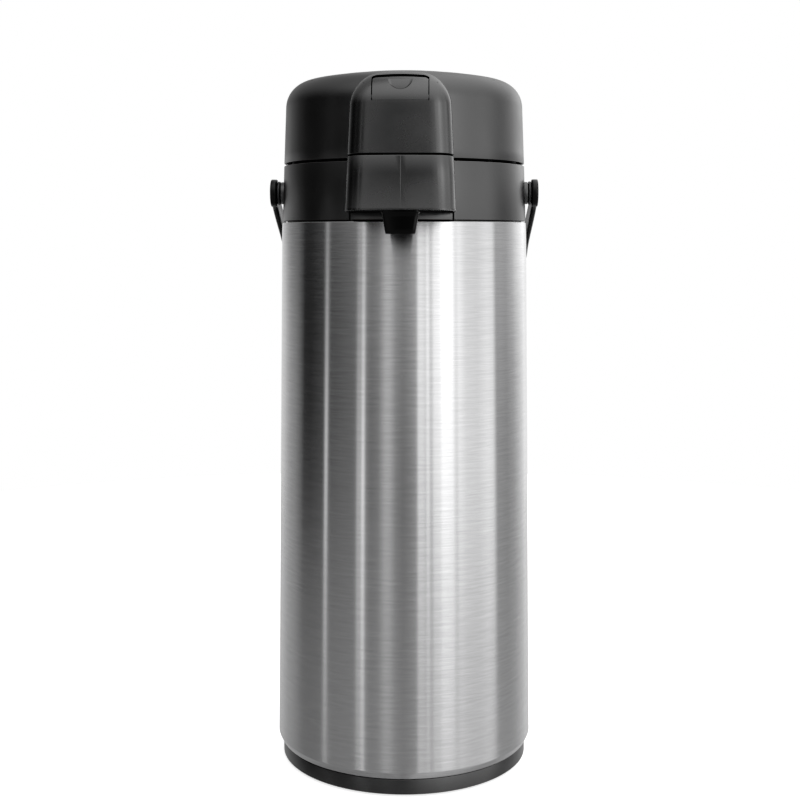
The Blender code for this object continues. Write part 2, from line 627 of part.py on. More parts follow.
# ================================ press plate ================================
press_axis = bpy.data.objects.new("pump_press_axis", None)
press_axis.location = (0, 0, CROWN_Z * MM)
bpy.context.scene.collection.objects.link(press_axis)
top = [(0.0, CROWN_Z), (24.0, crown_z(24.0)), (44.2, crown_z(44.2)), (PRESS_R, crown_z(45.0) - 0.9)]
under = [(42.8, crown_z(42.8) - 2.3), (24.0, crown_z(24.0) - 2.2), (0.0, CROWN_Z - 2.2)]
press = turned(
    "press_plate",
    top + [(PRESS_R, 358.2), (48.7, 358.2), (48.7, 356.4), (42.8, 356.4)] + under,
    ROUND,
    BLACK,
)
join(press, block("press_lock_boss", (-15.0, 20.0, 381.4), (15.0, 36.0, 384.6), cutter=True))
cut(press, block("press_lock_pocket", (-13.0, 21.5, 383.0), (13.0, 34.5, 395.0), cutter=True))
cut(press, block("press_lock_way", (-7.4, 25.8, 375.0), (7.4, 30.2, 395.0), cutter=True))
plunger = turned("plunger_disc", [(0.0, 374.3), (36.0, 374.3), (36.0, 376.2), (11.0, 376.2), (11.0, CROWN_Z - 2.7), (0.0, CROWN_Z - 2.6)], INNER, DARK)

# lock slider in the press plate's pocket, with a grip and a stem through the plate
bm = bmesh.new()
rows = []
for z, w, d in ((383.3, 7.6, 5.6), (384.9, 7.6, 5.6), (385.6, 6.9, 4.9)):
    rows.append([bm.verts.new((x - 4.0, y + 28.0, z)) for x, y, _ in rounded_box(w, d, 0, 0, 1.6)])
for a, b in zip(rows, rows[1:]):
    for i in range(8):
        j = (i + 1) % 8
        bm.faces.new((a[i], a[j], b[j], b[i]))
bm.faces.new(rows[0])
bm.faces.new(rows[-1])
lock = object_of(bm, "lock_slider", DARK)
join(lock, block("lock_stem", (-7.0, 26.2, 379.4), (-1.0, 29.8, 384.0), cutter=True))

# =================================== latch ===================================
latch_axis = bpy.data.objects.new("latch_axis", None)
latch_axis.location = (0, LATCH_Y * MM, LATCH_Z * MM)
bpy.context.scene.collection.objects.link(latch_axis)
latch = arc_plate("latch_lever", 15.4, 18.0, LATCH_W, 34.0, 82.7, like=BLACK, cutter=False)
join(latch, cylinder("latch_barrel", (0, LATCH_Y, LATCH_Z), 2.7, 30.0, "X", 12, cutter=True))
join(latch, block("latch_rib", (-12.0, -91.0, LATCH_Z + 1.7), (12.0, LATCH_Y + 1.0, LATCH_Z + 4.2), cutter=True))
join(latch, block("latch_arm", (-9.0, -86.9, 326.2), (9.0, -84.3, LATCH_Z), cutter=True))
join(latch, block("latch_hook", (-9.0, -85.0, 326.2), (9.0, -81.1, 328.3), cutter=True))
cut(latch, cylinder("latch_bore", (0, LATCH_Y, LATCH_Z), 1.35, 40.0, "X", 8, cutter=True))
scoop = bmesh.new()
bmesh.ops.create_uvsphere(scoop, u_segments=16, v_segments=10, radius=12.0)
bmesh.ops.translate(scoop, vec=(0.0, centre.x - 27.6 * math.sin(math.radians(20.0)), centre.y + 27.6 * math.cos(math.radians(20.0))), verts=scoop.verts)
cut(latch, object_of(scoop, "latch_scoop", cutter=True))
# leaf spring between the latch's arm and the front of the nose
leaf = loft(
    "latch_spring",
    [
        [(-4.0, y, z), (4.0, y, z), (4.0, y - 0.5, z), (-4.0, y - 0.5, z)]
        for y, z in ((-87.2, 341.0), (-87.2, 345.0), (-87.9, 349.0), (-88.7, 353.0), (-89.3, 356.0))
    ],
    BRIGHT,
)

# =================================== handle ==================================
handle_axis = bpy.data.objects.new("handle_swing_axis", None)
handle_axis.location = (0, 0, PIVOT_Z * MM)
bpy.context.scene.collection.objects.link(handle_axis)
lay = Vector((0.0, math.sin(BAIL_REST), -math.cos(BAIL_REST)))  # from the pivot towards the grip
across = Vector((0.0, math.cos(BAIL_REST), math.sin(BAIL_REST)))


def bail_line(n_arm=4, n_corner=6, n_bar=1):
    """(x, s, thickness, width) along half of the bail, from the left pivot to the middle of the grip."""
    line = []
    for i in range(n_arm):
        f = i / n_arm
        s = 52.0 * f
        line.append((-(73.3 - 2.5 * f * f * (3 - 2 * f)), s, 3.6, 13.0 - 1.0 * f))
    for i in range(n_corner + 1):
        a = math.pi / 2 * i / n_corner
        f = i / n_corner
        ease = f * f * (3 - 2 * f)
        line.append((-(24.8 + 46.0 * math.cos(a)), 52.0 + (BAIL_L - 52.0) * math.sin(a), 3.6 + 7.4 * ease, 12.0 + 4.0 * ease))
    for i in range(1, n_bar + 1):
        line.append((-24.8 * (1 - i / n_bar), BAIL_L, 11.0, 16.0))
    return line


half = bail_line()
line = half + [(-x, s, th, w) for x, s, th, w in reversed(half[:-1])]
rings = []
for i, (x, s, th, w) in enumerate(line):
    x0, s0 = line[max(i - 1, 0)][:2]
    x1, s1 = line[min(i + 1, len(line) - 1)][:2]
    t2 = Vector((x1 - x0, s1 - s0)).normalized()
    n2 = Vector((-t2.y, t2.x))
    ring = []
    for k in range(8):
        a = 2 * math.pi * (k + 0.5) / 8
        ca, sa = math.cos(a), math.sin(a)
        e = 0.62  # a squarish oval section
        px = math.copysign(abs(ca) ** e, ca) * th / 2
        py = math.copysign(abs(sa) ** e, sa) * w / 2
        p = Vector((x + n2.x * px, 0, 0)) + lay * (s + n2.y * px) + across * py
        ring.append((p.x, p.y, p.z + PIVOT_Z))
    rings.append(ring)
bail = loft("handle_bail", rings, BLACK)
for sign, side in ((-1, "left"), (1, "right")):
    join(bail, cylinder("bail_eye_" + side, (sign * 73.3, 0, PIVOT_Z), 7.7, 3.6, "X", 18, cutter=True))
for sign, side in ((-1, "left"), (1, "right")):
    cut(bail, cylinder("bail_bore_" + side, (sign * 72.6, 0, PIVOT_Z), 3.3, 12.0, "X", 10, cutter=True))
    cut(bail, cylinder("bail_recess_" + side, (sign * 75.6, 0, PIVOT_Z), 5.6, 4.4, "X", 14, cutter=True))
    # shoulder screw through the eye into the collar's boss, and the washer between them
    bolt = turned(
        "handle_screw_" + side,
        [(0.0, 74.9), (4.2, 74.9), (5.2, 74.5), (5.2, 73.7), (3.0, 73.7), (3.0, 69.8), (1.5, 69.8), (1.5, 62.2), (0.0, 62.2)],
        SMALL,
        BRIGHT,
    )
    washer = turned("handle_washer_" + side, [(3.4, 69.8), (6.5, 69.8), (6.5, 71.2), (3.4, 71.2)], SMALL, DARK)
    for o in (bolt, washer):
        o.data.transform(Matrix.Translation((0, 0, PIVOT_Z * MM)) @ Matrix.Rotation(sign * math.pi / 2, 4, "Y"))

# ---- parenting: each moving group hangs from an empty on its joint's axis ----
def ride(parent, *names):
    bpy.context.view_layer.update()
    for name in names:
        obj = bpy.data.objects[name]
        world = obj.matrix_world.copy()
        obj.parent = parent
        obj.matrix_parent_inverse = parent.matrix_world.inverted()
        obj.matrix_world = world


ride(foot_axis, "foot_plate", "foot_pad_centre", "foot_pad_1", "foot_pad_2", "foot_pad_3", "foot_pad_4")
ride(
    lid_axis, "lid_shell", "lid_inner_cover", "lid_gasket", "air_valve_disc", "lid_screw_1", "lid_screw_2", "lid_screw_3",
    "bellows", "bellows_clamp_ring", "pump_spring", "latch_pin", "lid_hinge_pin",
)
ride(press_axis, "press_plate", "plunger_disc", "lock_slider")
ride(latch_axis, "latch_lever", "latch_spring")
ride(handle_axis, "handle_bail")
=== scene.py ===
"""Dresses the thermal airpot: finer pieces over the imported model, procedural finishes, studio light, floor and camera."""

import math

import bmesh
import bpy
from mathutils import Matrix, Vector


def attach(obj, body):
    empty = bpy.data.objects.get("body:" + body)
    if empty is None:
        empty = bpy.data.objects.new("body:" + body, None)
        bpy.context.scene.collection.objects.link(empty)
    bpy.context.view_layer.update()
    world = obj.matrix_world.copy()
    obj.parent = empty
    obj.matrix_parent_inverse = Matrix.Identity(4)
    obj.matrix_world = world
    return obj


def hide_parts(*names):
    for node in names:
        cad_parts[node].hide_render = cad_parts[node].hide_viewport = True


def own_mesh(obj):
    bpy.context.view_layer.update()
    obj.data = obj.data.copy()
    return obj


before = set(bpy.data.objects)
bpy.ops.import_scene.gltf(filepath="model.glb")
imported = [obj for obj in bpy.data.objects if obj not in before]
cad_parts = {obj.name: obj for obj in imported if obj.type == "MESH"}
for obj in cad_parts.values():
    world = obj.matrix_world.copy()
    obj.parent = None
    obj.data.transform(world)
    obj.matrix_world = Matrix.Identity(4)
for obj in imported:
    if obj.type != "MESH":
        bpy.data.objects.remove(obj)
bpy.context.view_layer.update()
MM = 0.001

# =============================== dimensions, mm ===============================
# These repeat the model's own, so that each finer piece lies in its solid's place.
CASING_R_TOP, CASING_R_LOW = 68.6, 72.05
SEAM_Z, SEAM_GAP = 336.4, 1.2
COLLAR_Z_LOW, COLLAR_R_LOW, COLLAR_R_TOP = 304.6, 68.2, 67.25
DECK_Z, MOUTH_R = 331.0, 33.0
CROWN_Z, CROWN_R = 386.8, 285.0
LID_R_LOW, LID_R_SIDE, LID_SIDE_Z, SHOULDER_R = 67.2, 66.15, 364.0, 14.6
PRESS_HOLE_R, PRESS_R, STROKE = 45.6, 45.0, 17.0
NOSE_Z_LOW, NOSE_FRONT_LOW, NOSE_LEAN = 309.0, 96.0, 0.050
NOSE_TOP_Y, NOSE_TOP_Z, NOSE_TOP_SLOPE, NOSE_FRONT_R = 60.0, 380.9, 0.130, 18.0
WALL = 2.2
HINGE_Y, HINGE_Z, PIVOT_Z = 72.5, 337.0, 320.5
BAIL_L, BAIL_X, BAIL_REST = 100.0, 73.3, math.radians(54.0)
LATCH_Y, LATCH_Z, LATCH_W = -86.5, 364.0, 14.2
SPOUT_Y, PIPE_Z, PIPE_R = -84.0, 320.0, 4.5
TAB_TOP, SCOOP_TOP = 36.5, 42.0  # degrees from straight up, round the nose's front arc

ROUND, NEAR, INNER, SMALL = 224, 96, 72, 32


# ================================= materials ==================================
class Finish:
    """A material under construction: node helpers round one Principled shader."""

    def __init__(self, name, colour, roughness, metallic=0.0, **sockets):
        self.mat = bpy.data.materials.new(name)
        self.mat.use_nodes = True
        self.tree = self.mat.node_tree
        self.shader = self.tree.nodes["Principled BSDF"]
        self.shader.inputs["Base Color"].default_value = (*colour, 1.0)
        self.shader.inputs["Roughness"].default_value = roughness
        self.shader.inputs["Metallic"].default_value = metallic
        for socket, value in sockets.items():
            self.shader.inputs[socket.replace("_", " ")].default_value = value
        self.mat.diffuse_color = (*colour, 1.0)
        self.coords = self.add("ShaderNodeTexCoord").outputs["Object"]

    def add(self, kind, **settings):
        node = self.tree.nodes.new(kind)
        for key, value in settings.items():
            setattr(node, key, value)
        return node

    def link(self, a, b):
        self.tree.links.new(a, b)
        return self

    def math(self, operation, a, b=None, clamp=False):
        node = self.add("ShaderNodeMath", operation=operation, use_clamp=clamp)
        for socket, value in ((node.inputs[0], a), (node.inputs[1], b)):
            if value is None:
                continue
            if isinstance(value, (int, float)):
                socket.default_value = value
            else:
                self.link(value, socket)
        return node.outputs[0]

    def scaled(self, vector, scale):
        node = self.add("ShaderNodeMapping")
        node.inputs["Scale"].default_value = scale
        self.link(vector, node.inputs["Vector"])
        return node.outputs[0]

    def noise(self, vector, scale, detail=2.0, rough=0.5):
        node = self.add("ShaderNodeTexNoise")
        node.inputs["Scale"].default_value = scale
        node.inputs["Detail"].default_value = detail
        node.inputs["Roughness"].default_value = rough
        self.link(vector, node.inputs["Vector"])
        return node.outputs["Fac"]

    def spread(self, value, low, high, lo=0.3, hi=0.7):
        """value's range lo..hi spread over low..high."""
        node = self.add("ShaderNodeMapRange")
        node.inputs["From Min"].default_value = lo
        node.inputs["From Max"].default_value = hi
        node.inputs["To Min"].default_value = low
        node.inputs["To Max"].default_value = high
        self.link(value, node.inputs["Value"])
        return node.outputs["Result"]

    def tint(self, value, dark, light):
        node = self.add("ShaderNodeValToRGB")
        node.color_ramp.elements[0].color = (*dark, 1.0)
        node.color_ramp.elements[1].color = (*light, 1.0)
        self.link(value, node.inputs["Fac"])
        return node.outputs["Color"]

    def colour(self, socket):
        return self.link(socket, self.shader.inputs["Base Color"])

    def roughness(self, socket):
        return self.link(socket, self.shader.inputs["Roughness"])

    def bump(self, height, distance, strength=1.0):
        node = self.add("ShaderNodeBump")
        node.inputs["Strength"].default_value = strength
        node.inputs["Distance"].default_value = distance
        self.link(height, node.inputs["Height"])
        previous = self.shader.inputs["Normal"]
        if previous.is_linked:
            self.link(previous.links[0].from_socket, node.inputs["Normal"])
        self.link(node.outputs["Normal"], previous)
        return self

    def cylinder(self):
        """(arc length at 70 mm round the pot's axis, z) as a vector, then z and the angle round the axis; lengths in
        metres.
        """
        xyz = self.add("ShaderNodeSeparateXYZ")
        self.link(self.coords, xyz.inputs[0])
        back = self.math("MULTIPLY", xyz.outputs["Y"], -1.0)
        angle = self.math("ARCTAN2", xyz.outputs["X"], back)
        arc = self.math("MULTIPLY", angle, 0.07)
        out = self.add("ShaderNodeCombineXYZ")
        self.link(arc, out.inputs["X"])
        self.link(xyz.outputs["Z"], out.inputs["Y"])
        return out.outputs[0], xyz.outputs["Z"], angle


def grained_plastic(name, dark, light, rough, grain=2000.0, depth=0.000008, specular=0.95, nose=None, ior=1.6):
    """Moulded plastic with a fine matte grain and slight flow shading. nose is a smoother finish further than 68 mm from the axis."""
    f = Finish(name, light, rough, Specular_IOR_Level=specular, IOR=ior)
    flow = f.noise(f.coords, 28.0, 3.0)
    grit = f.noise(f.coords, grain, 2.0, 0.6)
    f.colour(f.tint(f.spread(f.math("ADD", f.math("MULTIPLY", flow, 0.7), f.math("MULTIPLY", grit, 0.3)), 0.0, 1.0, 0.35, 0.65), dark, light))
    patchy = f.spread(f.noise(f.coords, 60.0, 4.0), -0.035, 0.035)
    if nose is None:
        f.roughness(f.math("ADD", patchy, rough))
    else:
        xyz = f.add("ShaderNodeSeparateXYZ")
        f.link(f.coords, xyz.inputs[0])
        far = f.math("SQRT", f.math("ADD", f.math("MULTIPLY", xyz.outputs["X"], xyz.outputs["X"]), f.math("MULTIPLY", xyz.outputs["Y"], xyz.outputs["Y"])))
        f.roughness(f.math("ADD", patchy, f.spread(far, rough, nose, 0.0675, 0.0715)))
    f.bump(grit, depth, 0.6)
    f.bump(f.noise(f.coords, 220.0, 2.0), 0.00001, 0.3)
    return f.mat


def brushed_steel():
    """Lacquered stainless sheet, brushed round the pot: streaks run along the circumference."""
    f = Finish("casing_brushed_steel", (0.60, 0.60, 0.605), 0.19, 1.0, Anisotropic=1.0, Anisotropic_Rotation=0.25)
    wrap, _, _ = f.cylinder()
    fine = f.noise(f.scaled(wrap, (110.0, 4200.0, 1.0)), 1.0, 3.0, 0.6)
    broad = f.noise(f.scaled(wrap, (72.0, 1500.0, 1.0)), 1.0, 2.0, 0.55)
    long = f.noise(f.scaled(wrap, (30.0, 620.0, 1.0)), 1.0, 2.0, 0.5)
    cloud = f.noise(f.coords, 16.0, 2.0)
    mixed = f.math("ADD", f.math("MULTIPLY", fine, 0.3), f.math("ADD", f.math("MULTIPLY", broad, 0.42), f.math("MULTIPLY", long, 0.28)))
    f.colour(f.tint(f.spread(mixed, 0.0, 1.0, 0.39, 0.61), (0.553, 0.553, 0.558), (0.643, 0.643, 0.648)))
    f.roughness(f.spread(f.math("ADD", f.math("MULTIPLY", mixed, 0.7), f.math("MULTIPLY", cloud, 0.3)), 0.176, 0.204, 0.38, 0.62))
    f.bump(fine, 0.000004, 0.4)
    tangent = f.add("ShaderNodeTangent", direction_type="RADIAL", axis="Z")
    f.link(tangent.outputs[0], f.shader.inputs["Tangent"])
    return f.mat


def bright_steel(name="polished_bright_steel", rough=0.2, colour=(0.72, 0.72, 0.73)):
    f = Finish(name, colour, rough, 1.0)
    lines = f.noise(f.scaled(f.coords, (900.0, 900.0, 5200.0)), 1.0, 3.0)
    f.colour(f.tint(f.spread(lines, 0.0, 1.0), tuple(c * 0.82 for c in colour), colour))
    f.roughness(f.spread(f.noise(f.coords, 320.0, 3.0), rough - 0.05, rough + 0.08))
    f.bump(lines, 0.00001, 0.4)
    return f.mat


def soft_rubber(name, dark, light, rough=0.75):
    f = Finish(name, light, rough, Specular_IOR_Level=0.3)
    f.colour(f.tint(f.spread(f.noise(f.coords, 140.0, 4.0), 0.0, 1.0), dark, light))
    f.roughness(f.spread(f.noise(f.coords, 90.0, 2.0), rough - 0.08, rough + 0.08))
    f.bump(f.noise(f.coords, 1700.0, 3.0, 0.6), 0.00008, 0.5)
    return f.mat


def silicone(name="silicone_white"):
    f = Finish(name, (0.74, 0.74, 0.71), 0.48, Specular_IOR_Level=0.4, Subsurface_Weight=0.25, Subsurface_Scale=0.004)
    f.colour(f.tint(f.spread(f.noise(f.coords, 70.0, 3.0), 0.0, 1.0), (0.66, 0.66, 0.63), (0.78, 0.78, 0.75)))
    f.roughness(f.spread(f.noise(f.coords, 180.0, 3.0), 0.42, 0.56))
    f.bump(f.noise(f.coords, 900.0, 2.0), 0.00004, 0.4)
    return f.mat


def silvered_glass():
    f = Finish("flask_silvered_glass", (0.78, 0.80, 0.82), 0.06, 0.92, Coat_Weight=1.0, Coat_Roughness=0.03)
    f.colour(f.tint(f.spread(f.noise(f.coords, 34.0, 3.0), 0.0, 1.0), (0.68, 0.70, 0.73), (0.84, 0.86, 0.88)))
    f.roughness(f.spread(f.noise(f.coords, 50.0, 4.0), 0.03, 0.12))
    f.bump(f.noise(f.coords, 45.0, 2.0), 0.0004, 0.25)
    return f.mat


BLACK = grained_plastic("shell_black_plastic", (0.0025, 0.0025, 0.0026), (0.006, 0.006, 0.0062), 0.34, nose=0.26)
SATIN = grained_plastic("handle_black_plastic", (0.003, 0.003, 0.0031), (0.007, 0.007, 0.0072), 0.33, grain=2400.0, specular=0.4, ior=1.5)
GLOSSY = grained_plastic("spout_black_plastic", (0.0008, 0.0008, 0.0008), (0.002, 0.002, 0.002), 0.1, grain=3600.0, depth=0.000001, specular=0.36, ior=1.5)
DARK = grained_plastic("inner_grey_plastic", (0.030, 0.030, 0.031), (0.046, 0.046, 0.048), 0.48, grain=1500.0, specular=0.5)
STEEL = brushed_steel()
BRIGHT = bright_steel()
RUBBER = soft_rubber("black_rubber", (0.012, 0.012, 0.012), (0.026, 0.026, 0.026))
WHITE = silicone()
GLASS = silvered_glass()

POSTS = []


# ================================== geometry ==================================
def made(bm, name, mat=None, angle=35.0, cutter=False):
    bmesh.ops.remove_doubles(bm, verts=bm.verts, dist=1e-4)
    bmesh.ops.recalc_face_normals(bm, faces=bm.faces)
    bmesh.ops.scale(bm, vec=(MM, MM, MM), verts=bm.verts)
    mesh = bpy.data.meshes.new(name)
    bm.to_mesh(mesh)
    bm.free()
    obj = bpy.data.objects.new(name, mesh)
    bpy.context.scene.collection.objects.link(obj)
    if not cutter:
        mesh.shade_smooth()
        mesh.set_sharp_from_angle(angle=math.radians(angle))
        mesh.materials.append(mat)
    return obj


def filleted(profile, radius=0.4, steps=3, keep=()):
    """Rounds each corner of a closed (r, z) profile. keep lists corners left as they are, and points on the axis always are."""
    out = []
    n = len(profile)
    for i, (r, z) in enumerate(profile):
        p = Vector((r, z))
        a, b = Vector(profile[i - 1]), Vector(profile[(i + 1) % n])
        u, v = a - p, b - p
        if r < 1e-6 or i in keep or u.length < 1e-6 or v.length < 1e-6:
            out.append((r, z))
            continue
        cosine = max(-1.0, min(1.0, u.normalized().dot(v.normalized())))
        corner = math.acos(cosine)
        if corner > math.radians(172):
            out.append((r, z))
            continue
        cutback = min(radius / math.tan(corner / 2), 0.45 * u.length, 0.45 * v.length)
        rho = cutback * math.tan(corner / 2)
        start, end = p + u.normalized() * cutback, p + v.normalized() * cutback
        bisector = (u.normalized() + v.normalized()).normalized()
        centre = p + bisector * (rho / math.sin(corner / 2))
        a0 = math.atan2(start.y - centre.y, start.x - centre.x)
        a1 = math.atan2(end.y - centre.y, end.x - centre.x)
        turn = (a1 - a0 + math.pi) % (2 * math.pi) - math.pi
        for k in range(steps + 1):
            t = a0 + turn * k / steps
            q = centre + rho * Vector((math.cos(t), math.sin(t)))
            out.append((max(q.x, 0.0), q.y))
    return out


def turned(name, profile, segments, mat=None, cutter=False, fillet=0.35, steps=3, angle=35.0):
    """A body turned about Z from a closed (r, z) profile, with its corners rounded."""
    if fillet:
        profile = filleted(profile, fillet, steps)
    bm = bmesh.new()
    rings = []
    for r, z in profile:
        if r < 1e-6:
            rings.append([bm.verts.new((0, 0, z))])
        else:
            rings.append(
                [
                    bm.verts.new((r * math.cos(t), r * math.sin(t), z))
                    for t in (2 * math.pi * j / segments for j in range(segments))
                ]
            )
    for i, a in enumerate(rings):
        b = rings[(i + 1) % len(rings)]
        if len(a) == 1 and len(b) == 1:
            continue
        for j in range(segments):
            k = (j + 1) % segments
            if len(a) == 1:
                face = (a[0], b[j], b[k])
            elif len(b) == 1:
                face = (a[j], b[0], a[k])
            else:
                face = (a[j], b[j], b[k], a[k])
            bm.faces.new(face)
    return made(bm, name, mat, angle, cutter)


def cylinder(name, centre, radius, length, axis, segments, mat=None, cutter=False, edge=0.0):
    """A round bar along X, Y or Z, its ends' edges rounded by edge."""
    h = length / 2
    if edge:
        half = [(0.0, -h), (radius, -h), (radius, h), (0.0, h)]
        profile = filleted(half, edge, 3)
    else:
        profile = [(0.0, -h), (radius, -h), (radius, h), (0.0, h)]
    obj = turned(name, profile, segments, mat, cutter, fillet=0)
    spin = {
        "X": Matrix.Rotation(math.pi / 2, 4, "Y"),
        "Y": Matrix.Rotation(math.pi / 2, 4, "X"),
        "Z": Matrix.Identity(4),
    }[axis]
    obj.data.transform(Matrix.Translation(Vector(centre) * MM) @ spin)
    return obj


def block(name, low, high, mat=None, cutter=False, edge=0.0):
    bm = bmesh.new()
    bmesh.ops.create_cube(bm, size=1.0)
    low, high = Vector(low), Vector(high)
    bmesh.ops.scale(bm, vec=high - low, verts=bm.verts)
    bmesh.ops.translate(bm, vec=(low + high) / 2, verts=bm.verts)
    if edge:
        bmesh.ops.bevel(bm, geom=bm.edges[:], offset=edge, segments=3, profile=0.5, affect="EDGES")
    return made(bm, name, mat, 35.0, cutter)


def loft(name, rings, mat=None, cutter=False, angle=35.0):
    bm = bmesh.new()
    rows = [[bm.verts.new(p) for p in ring] for ring in rings]
    for a, b in zip(rows, rows[1:]):
        for i in range(len(a)):
            j = (i + 1) % len(a)
            bm.faces.new((a[i], a[j], b[j], b[i]))
    bm.faces.new(rows[0])
    bm.faces.new(rows[-1])
    return made(bm, name, mat, angle, cutter)


def boolean(obj, other, operation):
    step = obj.modifiers.new(other.name, "BOOLEAN")
    step.object = other
    step.operation = operation
    step.solver = "EXACT"
    POSTS.append(other)


def cut(obj, *others):
    for other in others:
        boolean(obj, other, "DIFFERENCE")


def join(obj, *others):
    for other in others:
        boolean(obj, other, "UNION")


def settle(obj, angle=30.0):
    """Applies the object's modifiers to its mesh; the cutters they used stay until clear_cutters drops them."""
    bpy.context.view_layer.update()
    graph = bpy.context.evaluated_depsgraph_get()
    mesh = bpy.data.meshes.new_from_object(obj.evaluated_get(graph))
    mats = [m for m in obj.data.materials]
    obj.modifiers.clear()
    old = obj.data
    obj.data = mesh
    bpy.data.meshes.remove(old)
    if not mesh.materials:
        for m in mats:
            mesh.materials.append(m)
    mesh.shade_smooth()
    mesh.set_sharp_from_angle(angle=math.radians(angle))
    for p in mesh.polygons:
        p.material_index = 0
    return obj


def clear_cutters():
    for other in list(POSTS):
        if other.name in bpy.data.objects:
            bpy.data.objects.remove(other, do_unlink=True)
    POSTS.clear()


def place(obj, body, *nodes, slot=None):
    """The piece rides on its body and stands for its CAD nodes; slot is not used."""
    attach(obj, body)
    if nodes:
        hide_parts(*nodes)
    return obj


def at(radius, degrees):
    a = math.radians(degrees)
    return radius * math.cos(a), radius * math.sin(a)


def hole(name, x, y, z0, z1, radius, segments=24):
    return cylinder(name, (x, y, (z0 + z1) / 2), radius, abs(z1 - z0), "Z", segments, cutter=True)


# ---- shared shapes of the lid and its nose ----------------------------------
def crown_z(r):
    return CROWN_Z - CROWN_R + math.sqrt(CROWN_R**2 - r**2)


def dome_profile(inset=0.0, steps=18, z_low=SEAM_Z, crown=(52.0, 44.0, 36.0, 28.0, 20.0, 12.0, 5.0, 0.0)):
    slope = (LID_R_SIDE - LID_R_LOW) / (LID_SIDE_Z - SEAM_Z)
    side = lambda z: LID_R_LOW + slope * (z - SEAM_Z) - inset
    rho = SHOULDER_R - inset
    cz = LID_SIDE_Z
    for _ in range(20):
        cr = side(cz) + inset - SHOULDER_R
        cz = CROWN_Z - CROWN_R + math.sqrt((CROWN_R - SHOULDER_R) ** 2 - cr**2)
    points = [(side(z_low), z_low)]
    if not inset:
        points = [(side(z_low) - 0.45, z_low), (side(z_low) - 0.13, z_low + 0.13), (side(z_low), z_low + 0.45)]
        for z in (342.0, 348.0, 354.0, 360.0):
            points.append((side(z), z))
    tilt = math.atan2(cr, cz - (CROWN_Z - CROWN_R))
    for i in range(steps + 1):
        a = (math.pi / 2 - tilt) * i / steps
        points.append((cr + rho * math.cos(a), cz + rho * math.sin(a)))
    for r in crown:
        points.append((r, CROWN_Z - CROWN_R + math.sqrt((CROWN_R - inset) ** 2 - r**2)))
    return points


def nose_front(z):
    return -(NOSE_FRONT_LOW - NOSE_LEAN * (z - NOSE_Z_LOW))


def nose_half_width(z):
    return 28.0 - 0.0455 * (z - NOSE_Z_LOW)


def nose_arc(inset=0.0):
    n_front = Vector((-1.0, NOSE_LEAN)).normalized()
    n_top = Vector((-NOSE_TOP_SLOPE, 1.0)).normalized()
    d_front = n_front.dot(Vector((-NOSE_FRONT_LOW, NOSE_Z_LOW))) - NOSE_FRONT_R
    d_top = n_top.dot(Vector((-NOSE_TOP_Y, NOSE_TOP_Z))) - NOSE_FRONT_R
    det = n_front.x * n_top.y - n_front.y * n_top.x
    y = (d_front * n_top.y - n_front.y * d_top) / det
    z = (n_front.x * d_top - d_front * n_top.x) / det
    return Vector((y, z)), NOSE_FRONT_R - inset, n_front, n_top


def nose_outline(z_low, back, arc_steps, rho_front, rho_top):
    """Points of the nose's side view: place, outward normal, the radius that rounds the edge there, and a small inset."""
    centre, rho, n_front, n_top = nose_arc()
    out = []
    a0 = math.atan2(n_front.y, n_front.x)
    a1 = math.atan2(n_top.y, n_top.x)
    start = centre + rho * n_front
    along = Vector((-n_front.y, n_front.x))
    low = start + along * ((z_low - start.y) / along.y)
    out.append((low, n_front, rho_front, 0.35))
    out.append((low.lerp(start, 0.005), n_front, rho_front, 0.12))
    out.append((low.lerp(start, 0.014), n_front, rho_front, 0.0))
    for i in range(1, 6):
        out.append((low.lerp(start, i / 6), n_front, rho_front, 0.0))
    for i in range(arc_steps + 1):
        f = i / arc_steps
        a = a0 + (a1 - a0) * f
        n = Vector((math.cos(a), math.sin(a)))
        out.append((centre + rho * n, n, rho_front + (rho_top - rho_front) * f * f * (3 - 2 * f), 0.0))
    end = out[-1][0]
    along = Vector((n_top.y, -n_top.x))
    far = end + along * ((back - end.x) / along.x)
    for i in range(1, 5):
        out.append((end.lerp(far, i / 4), n_top, rho_top, 0.0))
    return out


